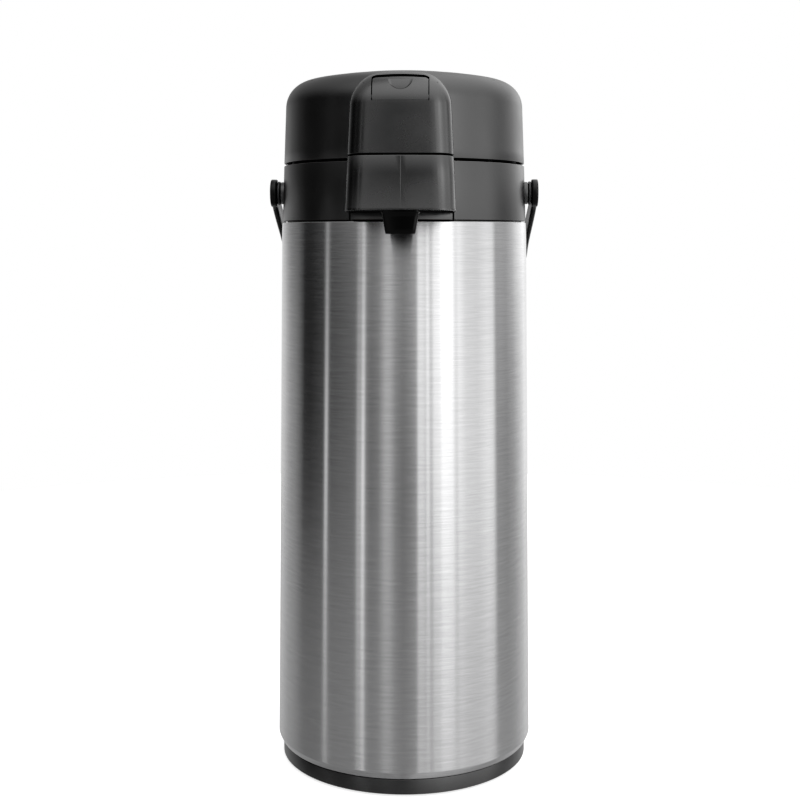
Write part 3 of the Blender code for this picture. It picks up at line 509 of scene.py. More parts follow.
def nose_body(name, wall, back, z_low, z_high=None, arc_steps=22, steps=9, cutter=True, mat=None, rho_front=9.5, rho_top=15.5, crown=0.55, edges=None):
    """The nose as slices across X. With z_high it is the part below the seam, with a flat top."""
    edges = not wall if edges is None else edges
    if z_high is None:
        outline = nose_outline(z_low, back, arc_steps, rho_front, rho_top)
        if not edges:
            outline = [(p, n, rho, 0.0) for p, n, rho, _ in outline]
    else:
        n_front = Vector((-1.0, NOSE_LEAN)).normalized()
        levels = [(z_low, 0.0), (z_high, 0.0)]
        if edges:
            levels = [(z_low, 0.3), (z_low + 0.2, -0.05), (z_low + 1.0, -0.1), (z_low + 1.35, 0.0), (z_high - 9.0, 0.0), (z_high - 0.45, 0.0), (z_high - 0.15, 0.12), (z_high, 0.4)]
        outline = [(Vector((nose_front(z), z)), n_front, rho_front, e) for z, e in levels]
    skin = 0.1 if edges else wall
    slices = []
    flat = [i / 6 for i in range(6)]
    for sign in (-1, 1):
        part = []
        for k in flat + [None] * (steps + 1):
            ring = []
            i = len(part) - len(flat)
            for p, n, rho, e in outline:
                inset = skin + e
                rr = max(rho - wall, 0.5)
                hw = nose_half_width(p.y) - inset
                t0 = math.atan(2 * crown / (hw - rr))
                xs = hw - rr * (1 - math.sin(t0))
                if k is not None:
                    d, x = crown * k * k, xs * k
                else:
                    t = t0 + (math.pi / 2 - t0) * i / steps
                    d = crown + rr * (math.cos(t0) - math.cos(t))
                    x = xs + rr * (math.sin(t) - math.sin(t0))
                q = p - n * (inset + d)
                ring.append((sign * x, q.x, q.y))
            last = ring[-1]
            if z_high is None:
                ring.append((last[0], back, ring[0][2]))
            else:
                ring.append((last[0], back, last[2]))
                ring.append((ring[0][0], back, ring[0][2]))
            if k != 0 or sign > 0:
                part.append(ring)
            else:
                part.append(None)
        slices.append([r for r in part if r is not None])
    rings = slices[0][::-1] + slices[1]
    return loft(name, rings, mat, cutter)


def cross_screw(name, x, y, z_head, length, up, head_r=2.9, head_h=1.8, shank_r=1.2):
    """A pan-head screw with a cross recess."""
    z0, z1, z2 = z_head, z_head + up * head_h, z_head + up * length
    profile = [(0.0, z0), (head_r * 0.55, z0), (head_r * 0.86, z0 + up * 0.25), (head_r, z0 + up * 0.8), (head_r, z1), (shank_r, z1)]
    n = 6
    for i in range(n):
        f0 = z1 + (z2 - up * 1.2 - z1) * (i + 0.2) / n
        f1 = z1 + (z2 - up * 1.2 - z1) * (i + 0.7) / n
        profile += [(shank_r * 0.86, f0), (shank_r, f1)]
    profile += [(shank_r * 0.8, z2 - up * 0.8), (0.0, z2)]
    obj = turned(name, profile, 28, BRIGHT, fillet=0.08, steps=2)
    for i, (w, d) in enumerate(((0.38, head_r * 0.58), (head_r * 0.58, 0.38))):
        lo, hi = sorted((z0 - up, z0 + up * 0.9))
        cut(obj, block(f"{name}_slot{i}", (-w, -d, lo), (w, d, hi), cutter=True))
    settle(obj)
    obj.data.transform(Matrix.Translation((x * MM, y * MM, 0)))
    return obj


def tube_along(name, path, radii, segments, mat, side=Vector((1.0, 0.0, 0.0))):
    """A pipe with open ends, of one outer and one inner radius, along a path."""
    bm = bmesh.new()
    rows = []
    for i, p in enumerate(path):
        a, b = Vector(path[max(i - 1, 0)]), Vector(path[min(i + 1, len(path) - 1)])
        t = (b - a).normalized()
        up = t.cross(side).normalized()
        rows.append(
            [
                [
                    bm.verts.new(Vector(p) + r * (math.cos(k) * side + math.sin(k) * up))
                    for k in (2 * math.pi * j / segments for j in range(segments))
                ]
                for r in radii
            ]
        )
    for a, b in zip(rows, rows[1:]):
        for ring in range(len(radii)):
            for j in range(segments):
                k = (j + 1) % segments
                bm.faces.new((a[ring][j], a[ring][k], b[ring][k], b[ring][j]))
    for end in (rows[0], rows[-1]):
        for j in range(segments):
            k = (j + 1) % segments
            bm.faces.new((end[0][j], end[0][k], end[1][k], end[1][j]))
    return made(bm, name, mat)


# =========================== the pot's fixed pieces ===========================
t = 0.7
body = turned(
    "casing_sheet",
    filleted(
        [
            (CASING_R_LOW - 5.2, 9.9), (CASING_R_LOW - 1.9, 9.9), (CASING_R_LOW, 14.0), (CASING_R_TOP, 303.8),
            (66.0, 303.8), (66.0, 303.8 - t), (CASING_R_TOP - t, 303.8 - t), (CASING_R_LOW - t, 14.2),
            (CASING_R_LOW - 2.2, 9.9 + t), (CASING_R_LOW - 5.2, 9.9 + t),
        ],
        1.6,
        6,
        keep=(0, 3, 4, 5, 6, 7, 8, 9),
    )[:],
    ROUND,
    STEEL,
    fillet=0.3,
    steps=3,
    angle=50.0,
)
place(body, "pot", "casing_tube")

collar = turned(
    "collar_shell",
    [
        (COLLAR_R_LOW, COLLAR_Z_LOW), (COLLAR_R_TOP, SEAM_Z - SEAM_GAP), (65.5, SEAM_Z - SEAM_GAP), (65.6, DECK_Z), (MOUTH_R, DECK_Z),
        (MOUTH_R, 309.4), (35.4, 309.4), (35.4, 328.6), (63.3, 328.6), (63.3, 299.2), (65.6, 299.2), (65.6, COLLAR_Z_LOW),
    ],
    ROUND,
    BLACK,
    fillet=0.45,
)
join(collar, nose_body("collar_nose_outer", 0.0, -55.0, NOSE_Z_LOW, SEAM_Z - 0.2))
ridge = loft(
    "collar_nose_parting",
    [
        [(-0.3, nose_front(z) + 1.0, z), (-0.3, nose_front(z) + 0.09, z), (-0.08, nose_front(z) + 0.045, z), (0.08, nose_front(z) + 0.045, z), (0.3, nose_front(z) + 0.09, z), (0.3, nose_front(z) + 1.0, z)]
        for z in (NOSE_Z_LOW + 0.6, 320.0, SEAM_Z - 0.7)
    ],
    cutter=True,
)
join(collar, ridge)
cut(collar, nose_body("collar_nose_hollow", WALL, -50.0, 313.0, 328.6))
cut(collar, nose_body("collar_nose_recess", 1.6, -68.2, 305.0, 311.0, edges=False))
cut(collar, nose_body("collar_nose_top_recess", WALL, -66.2, DECK_Z, 340.0))
for sign, side in ((-1, "left"), (1, "right")):
    join(collar, cylinder("collar_boss_" + side, (sign * 67.25, 0, PIVOT_Z), 6.2, 4.5, "X", 48, cutter=True, edge=0.5))
    cut(collar, cylinder("collar_boss_hole_" + side, (sign * 68.5, 0, PIVOT_Z), 1.8, 14.0, "X", 20, cutter=True))
join(collar, cylinder("collar_hinge_lug", (0, HINGE_Y, HINGE_Z), 3.8, 27.0, "X", 32, cutter=True, edge=0.4))
join(collar, block("collar_hinge_web", (-13.5, 65.0, 322.0), (13.5, HINGE_Y + 2.4, HINGE_Z - 2.0), cutter=True, edge=1.4))
cut(collar, cylinder("collar_hinge_bore", (0, HINGE_Y, HINGE_Z), 1.9, 40.0, "X", 20, cutter=True))
cut(collar, block("collar_spout_way", (-9.9, SPOUT_Y - 7.9, 308.0), (9.9, SPOUT_Y + 7.9, 315.0), cutter=True))
cut(collar, cylinder("collar_pipe_way", (0, -34.0, PIPE_Z), 7.5, 12.0, "Y", 32, cutter=True))
cut(collar, block("collar_latch_slot", (-10.5, -91.2, 326.0), (10.5, -80.6, 333.0), cutter=True))
cut(collar, block("collar_plate_notch", (-27.3, -75.0, 300.0), (27.3, -58.0, 308.9), cutter=True))
for i, angle in enumerate((90.0, 210.0, 330.0), 1):
    x, y = at(60.4, angle)
    join(collar, cylinder(f"collar_post_{i}", (x, y, 314.1), 3.6, 29.9, "Z", 20, cutter=True))
    cut(collar, hole(f"collar_post_hole_{i}", x, y, 296.0, 308.0, 1.5))
place(settle(collar), "pot", "collar")
clear_cutters()

plate = turned("spout_strip", [(66.2, 304.6), (68.15, 304.6), (68.05, 308.6), (66.2, 308.6)], 240, BLACK, fillet=0.3)
boolean(plate, block("spout_strip_keep", (-26.3, -110, 296), (26.3, -50, 316), cutter=True), "INTERSECT")
place(settle(plate), "pot", "spout_base_plate")
clear_cutters()


def nozzle_ring(w, d, z, r=2.0, n=5):
    """A rounded rectangle round the spout's axis."""
    pts = []
    for cx, cy, a0 in ((w - r, d - r, 0.0), (-w + r, d - r, 90.0), (-w + r, -d + r, 180.0), (w - r, -d + r, 270.0)):
        for i in range(n + 1):
            a = math.radians(a0 + 90.0 * i / n)
            pts.append((cx + r * math.cos(a), SPOUT_Y + cy + r * math.sin(a), z))
    return pts


nozzle = loft(
    "spout_nozzle_body",
    [
        nozzle_ring(6.9, 5.3, 297.2, 1.6), nozzle_ring(7.35, 5.75, 297.32, 1.7), nozzle_ring(7.6, 6.0, 297.8, 1.8), nozzle_ring(8.0, 6.25, 300.0, 1.8),
        nozzle_ring(8.9, 6.9, 305.5, 1.9), nozzle_ring(9.15, 7.1, 307.4, 1.9), nozzle_ring(9.75, 7.4, 307.9, 2.0), nozzle_ring(9.8, 7.5, 308.5, 2.0),
        nozzle_ring(9.7, 7.5, 309.4, 2.0), nozzle_ring(9.5, 7.5, 311.0, 2.0),
    ],
    GLOSSY,
)
cut(nozzle, hole("spout_bore", 0, SPOUT_Y, 290.0, 320.0, 5.0, 48))
cut(nozzle, cylinder("spout_bore_flare", (0, SPOUT_Y, 297.0), 5.2, 1.4, "Z", 48, cutter=True))
place(settle(nozzle), "pot", "spout_nozzle")
clear_cutters()

R = 9.0
path = [(0, 0, 302.2), (0, 0, 306.0), (0, 0, PIPE_Z - R)]
path += [(0, -R + R * math.cos(a), PIPE_Z - R + R * math.sin(a)) for a in (math.pi / 2 * i / 12 for i in range(1, 12))]
path += [(0, -R, PIPE_Z), (0, -40, PIPE_Z), (0, SPOUT_Y + R, PIPE_Z)]
path += [(0, SPOUT_Y + R - R * math.sin(a), PIPE_Z - R + R * math.cos(a)) for a in (math.pi / 2 * i / 12 for i in range(1, 12))]
path += [(0, SPOUT_Y, PIPE_Z - R), (0, SPOUT_Y, 305.0)]
place(tube_along("delivery_tube", path, (PIPE_R, PIPE_R - 0.8), 32, BRIGHT), "pot", "delivery_pipe")
grommet = turned("pipe_grommet_ring", [(4.8, 29.4), (8.4, 29.4), (8.4, 31.1), (7.1, 31.5), (7.1, 35.6), (8.4, 35.9), (8.4, 37.4), (4.8, 37.4)], 48, WHITE, fillet=0.25)
grommet.data.transform(Matrix.Translation((0, 0, PIPE_Z * MM)) @ Matrix.Rotation(math.pi / 2, 4, "X"))
place(grommet, "pot", "pipe_grommet")
place(turned("pipe_union_sleeve", [(4.9, 294.5), (6.6, 294.5), (6.6, 308.5), (4.9, 308.5)], 40, WHITE), "pot", "pipe_union")
place(turned("dip_tube_steel", [(3.7, 33.0), (4.5, 33.0), (4.5, 301.8), (3.7, 301.8)], 40, BRIGHT, fillet=0.15), "pot", "dip_tube")
place(
    turned(
        "flask_outer_wall",
        [
            (4.2, 15.4), (4.2, 19.8), (38.0, 23.4), (58.0, 33.0), (66.2, 52.0), (66.2, 258.0), (59.5, 274.5), (38.0, 285.0),
            (31.5, 293.0), (31.5, 301.4), (29.9, 301.4), (29.9, 292.6), (37.3, 283.6), (58.3, 273.4), (64.6, 258.0), (64.6, 52.3),
            (57.0, 34.4), (37.6, 25.0), (2.6, 21.4), (2.6, 15.4),
        ],
        NEAR, GLASS, fillet=7.0, steps=4,
    ),
    "pot", "flask_outer_glass",
)
place(
    turned(
        "flask_inner_wall",
        [
            (0.0, 26.6), (36.0, 29.4), (54.6, 38.6), (61.6, 56.0), (61.6, 256.0), (55.0, 270.2), (34.5, 280.4),
            (27.8, 292.0), (27.8, 301.7), (31.5, 301.7), (31.5, 303.6), (26.3, 303.6), (26.3, 291.5), (33.6, 278.9),
            (54.0, 268.9), (60.1, 255.8), (60.1, 56.3), (53.5, 39.8), (35.6, 30.9), (0.0, 28.1),
        ],
        NEAR, GLASS, fillet=6.0, steps=4,
    ),
    "pot", "flask_inner_glass",
)
place(turned("mouth_seal_ring", [(26.8, 304.0), (34.8, 304.0), (34.8, 309.0), (26.8, 309.0)], NEAR, WHITE, fillet=0.8), "pot", "flask_mouth_seal")
place(turned("cushion_pad", [(12.0, 12.4), (31.0, 12.4), (31.0, 21.6), (18.0, 19.9), (12.0, 19.4)], NEAR, RUBBER, fillet=0.8), "pot", "flask_cushion")

base = turned(
    "base_skirt",
    [(69.4, 9.6), (69.4, 1.9), (68.7, 1.2), (66.9, 1.2), (66.7, 6.0), (27.0, 6.0), (27.0, 9.6)],
    ROUND, BLACK, fillet=0.35,
)
clamp = turned("base_clamp_disc", [(56.0, 10.95), (68.6, 10.95), (69.4, 12.6), (56.0, 13.6)], NEAR, DARK)
for i, angle in enumerate((90.0, 210.0, 330.0), 1):
    x, y = at(60.5, angle)
    cut(base, hole(f"base_hole_{i}", x, y, 3.0, 12.0, 1.5))
    cut(clamp, hole(f"clamp_hole_{i}", x, y, 9.0, 16.0, 1.5))
place(settle(base), "pot", "base_ring")
place(settle(clamp), "pot", "base_clamp_ring")
clear_cutters()
for i, angle in enumerate((90.0, 210.0, 330.0), 1):
    x, y = at(60.5, angle)
    place(cross_screw(f"base_cross_screw_{i}", x, y, 3.9, 9.2, 1, head_r=2.6, head_h=1.7), "pot", f"base_screw_{i}")
    clear_cutters()
cap = turned(
    "support_cap_disc",
    [(0.0, 9.0), (3.2, 9.0), (3.2, 5.2), (26.5, 5.2), (26.5, 9.9), (32.0, 9.9), (32.0, 12.0), (0.0, 12.0)],
    NEAR, DARK,
)
place(cap, "pot", "flask_support_cap")
clamp_top = turned("collar_clamp_disc", [(56.5, 296.6), (67.4, 296.6), (67.4, 302.8), (66.2, 302.8), (66.2, 298.9), (56.5, 298.9)], NEAR, DARK)
for i, angle in enumerate((90.0, 210.0, 330.0), 1):
    x, y = at(60.4, angle)
    cut(clamp_top, hole(f"collar_clamp_hole_{i}", x, y, 294.0, 300.5, 1.5))
place(settle(clamp_top), "pot", "collar_clamp_ring")
clear_cutters()
for i, angle in enumerate((90.0, 210.0, 330.0), 1):
    x, y = at(60.4, angle)
    place(cross_screw(f"collar_cross_screw_{i}", x, y, 294.5, 12.0, 1), "pot", f"collar_screw_{i}")
    clear_cutters()

# ================================ swivel foot ================================
foot = turned(
    "foot_disc",
    [(4.5, 3.3), (9.2, 3.3), (9.2, 1.9), (54.5, 1.9), (56.0, 2.8), (56.0, 5.4), (51.5, 5.4), (51.5, 3.6), (31.0, 3.6), (31.0, 4.6), (4.5, 4.6)],
    NEAR, DARK,
)
place(foot, "foot", "foot_plate")
place(
    turned("foot_pivot_pin", [(0.0, 2.0), (8.6, 2.0), (8.6, 3.0), (4.2, 3.0), (4.2, 4.9), (2.8, 4.9), (2.8, 8.7), (0.0, 8.7)], 40, BRIGHT, fillet=0.2),
    "pot", "foot_pivot_screw",
)


def pad(name, x, y, radius):
    """A rubber foot with a rounded edge and shallow rings under it."""
    profile = [(0.0, 0.0)]
    for i in range(1, 4):
        r = radius * i / 4.4
        profile += [(r - 0.35, 0.0), (r, 0.25), (r + 0.35, 0.0)]
    profile += [(radius, 0.0), (radius, 1.6), (0.0, 1.6)]
    obj = turned(name, profile, 56, RUBBER, fillet=0.12)
    obj.data.transform(Matrix.Translation((x * MM, y * MM, 0)))
    return obj


place(pad("pad_centre", 0, 0, 11.5), "foot", "foot_pad_centre")
for i, angle in enumerate((45.0, 135.0, 225.0, 315.0), 1):
    x, y = at(46.0, angle)
    place(pad(f"pad_{i}", x, y, 6.5), "foot", f"foot_pad_{i}")

# =================================== lid =====================================
centre, rho, n_front, n_top = nose_arc()
lid = turned("lid_dome", [(0.0, SEAM_Z)] + dome_profile(), ROUND, BLACK, fillet=0)
join(lid, nose_body("lid_nose_outer", 0.0, -40.0, SEAM_Z + 0.5))
cut(lid, turned("lid_hollow", [(0.0, 330.0)] + dome_profile(WALL, 8, 330.0), ROUND, cutter=True, fillet=0))
cut(lid, nose_body("lid_nose_hollow", WALL, -45.0, 330.0))
join(
    lid,
    turned(
        "lid_sleeve",
        [(PRESS_HOLE_R - 3.0, 358.6), (47.6, 358.6), (47.6, crown_z(47.6) - 0.9), (PRESS_HOLE_R - 3.0, crown_z(PRESS_HOLE_R) - 0.9)],
        ROUND, cutter=True, fillet=0,
    ),
)
cut(lid, cylinder("lid_press_way", (0, 0, 380.0), PRESS_HOLE_R, 60.0, "Z", ROUND, cutter=True))
cut(
    lid,
    turned(
        "lid_press_chamfer",
        [(PRESS_HOLE_R - 1.0, crown_z(PRESS_HOLE_R) - 0.7), (PRESS_HOLE_R, crown_z(PRESS_HOLE_R) - 0.7), (PRESS_HOLE_R + 0.18, crown_z(PRESS_HOLE_R) - 0.25), (PRESS_HOLE_R + 0.9, crown_z(PRESS_HOLE_R) + 0.3), (PRESS_HOLE_R - 1.0, crown_z(PRESS_HOLE_R) + 0.4)],
        ROUND, cutter=True, fillet=0,
    ),
)
for i, angle in enumerate((90.0, 215.0, 325.0), 1):
    x, y = at(56.0, angle)
    join(lid, cylinder(f"lid_post_{i}", (x, y, 359.2), 3.6, 40.6, "Z", 20, cutter=True))
    cut(lid, hole(f"lid_post_hole_{i}", x, y, 330.0, 350.0, 1.5))
for sign, side in ((-1, "left"), (1, "right")):
    join(
        lid,
        cylinder("lid_knuckle_" + side, (sign * 19.0, HINGE_Y, HINGE_Z), 3.8, 9.6, "X", 32, cutter=True, edge=0.4),
        block("lid_knuckle_web_" + side, (sign * 19.0 - 4.8, 62.4, HINGE_Z + 0.6), (sign * 19.0 + 4.8, HINGE_Y + 1.6, HINGE_Z + 7.5), cutter=True, edge=1.3),
    )
cut(lid, cylinder("lid_hinge_bore", (0, HINGE_Y, HINGE_Z), 1.9, 60.0, "X", 20, cutter=True))
cut(lid, block("lid_lug_clear", (-14.0, 67.3, 330.0), (14.0, 80.0, 343.0), cutter=True))


def arc_plate(name, r_in, r_out, half_w, a_top, a_low, steps=20, mat=None, cutter=True, corner=0.0, soft=0.0):
    """A curved plate round the nose's front arc. Angles run from straight up towards the front, in degrees.
    corner rounds its two upper corners in the front view, and soft rounds its outer edges."""
    cols = [(-half_w + soft * (1 - math.cos(math.pi / 2 * (1 - k / 3))), soft * (1 - math.sin(math.pi / 2 * (k / 3)))) for k in range(4)] if soft else [(-half_w, 0.0)]
    if soft:
        cols = []
        for k in range(4):
            a = math.pi / 2 * k / 3
            cols.append((-half_w + soft * (1 - math.sin(a)), soft * (1 - math.cos(a))))
        cols = [(x, d) for x, d in sorted(cols)]
        cols = [(-half_w + soft * (1 - math.cos(math.pi / 2 * k / 3)), soft * (1 - math.sin(math.pi / 2 * k / 3))) for k in range(4)]
    n_mid = 22
    inner = cols[-1][0]
    xs = cols + [(inner + (-2 * inner) * k / n_mid, 0.0) for k in range(1, n_mid)] + [(-x, d) for x, d in reversed(cols)]
    rings = []
    for x, drop in xs:
        lift = 0.0
        edge = abs(x) - (half_w - corner)
        if corner and edge > 0:
            lift = corner - math.sqrt(max(corner**2 - edge**2, 0.0))
        top = a_top + math.degrees(lift / r_out)
        outline = []
        for i in range(steps + 1):
            a = math.radians(top + (a_low - top) * i / steps)
            r = r_out - drop
            if soft and i == 0:
                r -= soft * 0.7
            if soft and i == 1:
                a = math.radians(top + math.degrees(soft * 0.5 / r_out))
            outline.append((x, centre.x - r * math.sin(a), centre.y + r * math.cos(a)))
        for i in range(steps, -1, -1):
            a = math.radians(top + (a_low - top) * i / steps)
            outline.append((x, centre.x - r_in * math.sin(a), centre.y + r_in * math.cos(a)))
        rings.append(outline)
    return loft(name, rings, mat, cutter)


cut(lid, arc_plate("lid_latch_window", 11.0, 26.0, LATCH_W + 0.15, 27.0, 83.2, corner=2.6))
for sign, side in ((-1, "left"), (1, "right")):
    ear = block("lid_ear_" + side, (sign * 17.4 - 1.3, -88.6, LATCH_Z - 3.4), (sign * 17.4 + 1.3, -83.8, 368.6), cutter=True)
    root = block("lid_ear_root_" + side, (sign * 17.4 - 1.1, -86.3, 367.8), (sign * 17.4 + 1.1, -84.1, 372.3), cutter=True)
    join(lid, ear, root)
cut(lid, cylinder("lid_ear_bore", (0, LATCH_Y, LATCH_Z), 1.35, 37.0, "X", 20, cutter=True))
place(settle(lid, 28.0), "lid", "lid_shell")
clear_cutters()
place(cylinder("hinge_pin_steel", (0, HINGE_Y, HINGE_Z), 1.6, 47.0, "X", 28, BRIGHT, edge=0.3), "lid", "lid_hinge_pin")
place(cylinder("latch_pin_steel", (0, LATCH_Y, LATCH_Z), 1.1, 36.4, "X", 24, BRIGHT, edge=0.2), "lid", "latch_pin")

inner = turned(
    "inner_cover",
    [
        (3.0, 326.0), (28.6, 326.0), (29.0, 336.4), (62.9, 336.4), (62.9, 338.5),
        (26.6, 338.5), (26.6, 328.2), (3.0, 328.2),
    ],
    NEAR * 2, DARK, fillet=0.5,
)
for i, angle in enumerate((90.0, 215.0, 325.0), 1):
    x, y = at(56.0, angle)
    cut(inner, hole(f"cover_hole_{i}", x, y, 330.0, 342.0, 1.5))
for k in range(12):
    x, y = at(17.5, 30.0 * k)
    cut(inner, hole(f"cover_port_{k}", x, y, 325.2, 326.6, 1.1, 20))
place(settle(inner), "lid", "lid_inner_cover")
clear_cutters()
gasket = turned(
    "gasket_ring",
    [(29.4, 331.4), (34.4, 331.4), (34.8, 332.2), (34.2, 332.8), (34.8, 333.5), (34.2, 334.2), (34.8, 334.9), (34.8, 336.0), (29.4, 336.0)],
    NEAR, WHITE, fillet=0.3,
)
place(gasket, "lid", "lid_gasket")
place(turned("valve_disc", [(0.0, 328.6), (9.0, 328.6), (9.0, 329.7), (0.0, 329.7)], 56, WHITE, fillet=0.3), "lid", "air_valve_disc")
for i, angle in enumerate((90.0, 215.0, 325.0), 1):
    x, y = at(56.0, angle)
    place(cross_screw(f"lid_cross_screw_{i}", x, y, 334.2, 13.0, 1), "lid", f"lid_screw_{i}")
    clear_cutters()

FOLDS = 4
outer_line = [(30.0, 338.9), (41.2, 338.9), (41.2, 340.0), (37.9, 340.0), (37.6, 341.2)]
inner_line = [(30.0, 340.0), (36.0, 340.4)]
for i in range(FOLDS):
    z, pitch = 341.2, 31.4 / FOLDS
    outer_line += [(33.6, z + pitch * (i + 0.5)), (37.6, z + pitch * (i + 1))]
    inner_line += [(32.0, z + pitch * (i + 0.5)), (36.0, z + pitch * (i + 1))]
outer_line = outer_line[:-1] + [(37.0, 374.0), (12.0, 374.0), (12.0, 372.8)]
inner_line = inner_line[:-1] + [(35.6, 372.8)]
bellows = turned("bellows_rubber", outer_line + inner_line[::-1], NEAR, RUBBER, fillet=0.6)
place(bellows, "lid", "bellows")
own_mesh(bellows)
place(turned("bellows_ring", [(38.4, 340.4), (42.0, 340.4), (42.0, 342.2), (38.4, 342.2)], NEAR, DARK), "lid", "bellows_clamp_ring")
turns, n = 5, 36
path = []
for i in range(turns * n + 1):
    a = 2 * math.pi * i / n
    path.append((14.0 * math.cos(a), 14.0 * math.sin(a), 329.9 + 41.4 * i / (turns * n)))
bm = bmesh.new()
rows = []
for i, p in enumerate(path):
    a, b = Vector(path[max(i - 1, 0)]), Vector(path[min(i + 1, len(path) - 1)])
    tangent = (b - a).normalized()
    out = Vector((p[0], p[1], 0.0)).normalized()
    up = tangent.cross(out).normalized()
    out = up.cross(tangent).normalized()
    rows.append([bm.verts.new(Vector(p) + 0.9 * (math.cos(k) * out + math.sin(k) * up)) for k in (2 * math.pi * j / 12 for j in range(12))])
for a, b in zip(rows, rows[1:]):
    for j in range(12):
        k = (j + 1) % 12
        bm.faces.new((a[j], a[k], b[k], b[j]))
bm.faces.new(rows[0])
bm.faces.new(rows[-1])
spring = made(bm, "return_spring", BRIGHT, 60.0)
place(spring, "lid", "pump_spring")
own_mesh(spring)

# ================================ press plate ================================
top = [(0.0, CROWN_Z)] + [(r, crown_z(r)) for r in (6.0, 12.0, 20.0, 28.0, 36.0)] + [(44.9, crown_z(44.9) - 0.25), (45.0, crown_z(45.0) - 0.9)]
under = [(42.8, crown_z(42.8) - 2.3), (24.0, crown_z(24.0) - 2.2), (0.0, CROWN_Z - 2.2)]
press = turned(
    "press_disc",
    top + [(45.0, 358.2), (48.7, 358.2), (48.7, 356.4), (42.8, 356.4)] + under,
    ROUND, BLACK, fillet=0.3,
)
join(press, block("press_lock_boss", (-15.0, 20.0, 381.4), (15.0, 36.0, 384.6), cutter=True))
cut(press, block("press_lock_pocket", (-13.0, 21.5, 383.0), (13.0, 34.5, 395.0), cutter=True))
cut(press, block("press_lock_way", (-7.4, 25.8, 375.0), (7.4, 30.2, 395.0), cutter=True))
place(settle(press), "press", "press_plate")
clear_cutters()
place(
    turned("plunger_plate", [(0.0, 374.3), (36.0, 374.3), (36.0, 376.2), (11.0, 376.2), (11.0, CROWN_Z - 2.7), (0.0, CROWN_Z - 2.6)], NEAR, DARK),
    "press", "plunger_disc",
)


def slider_ring(w, d, z, r=1.6, n=4):
    pts = []
    for cx, cy, a0 in ((w - r, d - r, 0.0), (-w + r, d - r, 90.0), (-w + r, -d + r, 180.0), (w - r, -d + r, 270.0)):
        for i in range(n + 1):
            a = math.radians(a0 + 90.0 * i / n)
            pts.append((-4.0 + cx + r * math.cos(a), 28.0 + cy + r * math.sin(a), z))
    return pts


lock = loft(
    "lock_button",
    [slider_ring(7.6, 5.6, 383.3), slider_ring(7.6, 5.6, 384.9), slider_ring(7.45, 5.45, 385.2), slider_ring(7.1, 5.1, 385.3)],
    DARK,
)
join(lock, block("lock_stem", (-7.0, 26.2, 379.4), (-1.0, 29.8, 384.0), cutter=True))
for k in range(4):
    x = -8.2 + 2.8 * k
    join(lock, block(f"lock_rib_{k}", (x - 0.5, 24.2, 384.8), (x + 0.5, 31.8, 385.6), cutter=True, edge=0.15))
place(settle(lock), "lock", "lock_slider")
clear_cutters()

# =================================== latch ===================================
latch = nose_body("latch_tab", 0.12, -40.0, 350.0, cutter=False, mat=BLACK, edges=False)
boolean(latch, arc_plate("latch_tab_outline", 10.0, 27.0, LATCH_W - 0.35, TAB_TOP, 82.8, corner=1.6), "INTERSECT")
cut(latch, nose_body("latch_tab_under", 2.5, -45.0, 340.0, edges=False))
join(latch, cylinder("latch_barrel", (0, LATCH_Y, LATCH_Z), 2.7, 30.0, "X", 24, cutter=True))
join(latch, block("latch_rib", (-12.0, -91.0, LATCH_Z + 1.7), (12.0, LATCH_Y + 1.0, LATCH_Z + 4.2), cutter=True))
join(latch, block("latch_arm", (-9.0, -86.9, 326.2), (9.0, -84.3, LATCH_Z), cutter=True))
join(latch, block("latch_hook", (-9.0, -85.0, 326.2), (9.0, -81.1, 328.3), cutter=True))
cut(latch, cylinder("latch_bore", (0, LATCH_Y, LATCH_Z), 1.35, 40.0, "X", 20, cutter=True))
# finger scoop: a half-moon whose floor deepens to a small ledge along its curved lower rim
bm = bmesh.new()
floor_rows, roof_rows = [], []
for i in range(15):
    rho_i = i / 14
    for rows, inner in ((floor_rows, True), (roof_rows, False)):
        row = []
        for k in range(33 if i else 1):
            a = math.pi * k / 32
            x, along = 6.5 * rho_i * math.cos(a), 7.4 * rho_i * math.sin(a)
            deep = 0.08 + 1.9 * rho_i * math.sin(a) * (1.0 if i < 12 else 0.62 if i < 13 else 0.3)
            r = 17.9 + (0.35 if i == 14 else -deep) if inner else 21.0
            if inner and i < 14:
                r -= 0.55 * (x / 18.5) ** 2
            b = math.radians(SCOOP_TOP) + along / 17.9
            row.append(bm.verts.new((x, centre.x - r * math.sin(b), centre.y + r * math.cos(b))))
        rows.append(row)
for rows in (floor_rows, roof_rows):
    for k in range(32):
        bm.faces.new((rows[0][0], rows[1][k], rows[1][k + 1]))
        for a, b in zip(rows[1:], rows[2:]):
            bm.faces.new((a[k], b[k], b[k + 1], a[k + 1]))
for k in range(32):
    bm.faces.new((floor_rows[-1][k], roof_rows[-1][k], roof_rows[-1][k + 1], floor_rows[-1][k + 1]))
for end in (0, -1):
    edge_low = [floor_rows[0][0]] + [row[end] for row in floor_rows[1:]]
    edge_high = [roof_rows[0][0]] + [row[end] for row in roof_rows[1:]]
    for i in range(14):
        bm.faces.new((edge_low[i], edge_low[i + 1], edge_high[i + 1], edge_high[i]))
cut(latch, made(bm, "latch_scoop", cutter=True))
place(settle(latch, 28.0), "latch", "latch_lever")
clear_cutters()
leaf = loft(
    "latch_leaf",
    [
        [(-4.0, y, z), (4.0, y, z), (4.0, y - 0.5, z), (-4.0, y - 0.5, z)]
        for y, z in ((-87.2, 341.0), (-87.2, 343.0), (-87.25, 345.0), (-87.5, 347.0), (-87.9, 349.0), (-88.35, 351.0), (-88.7, 353.0), (-89.1, 354.8), (-89.3, 356.0))
    ],
    BRIGHT,
)
place(leaf, "latch", "latch_spring")

# =================================== handle ==================================
lay = Vector((0.0, math.sin(BAIL_REST), -math.cos(BAIL_REST)))
across = Vector((0.0, math.cos(BAIL_REST), math.sin(BAIL_REST)))


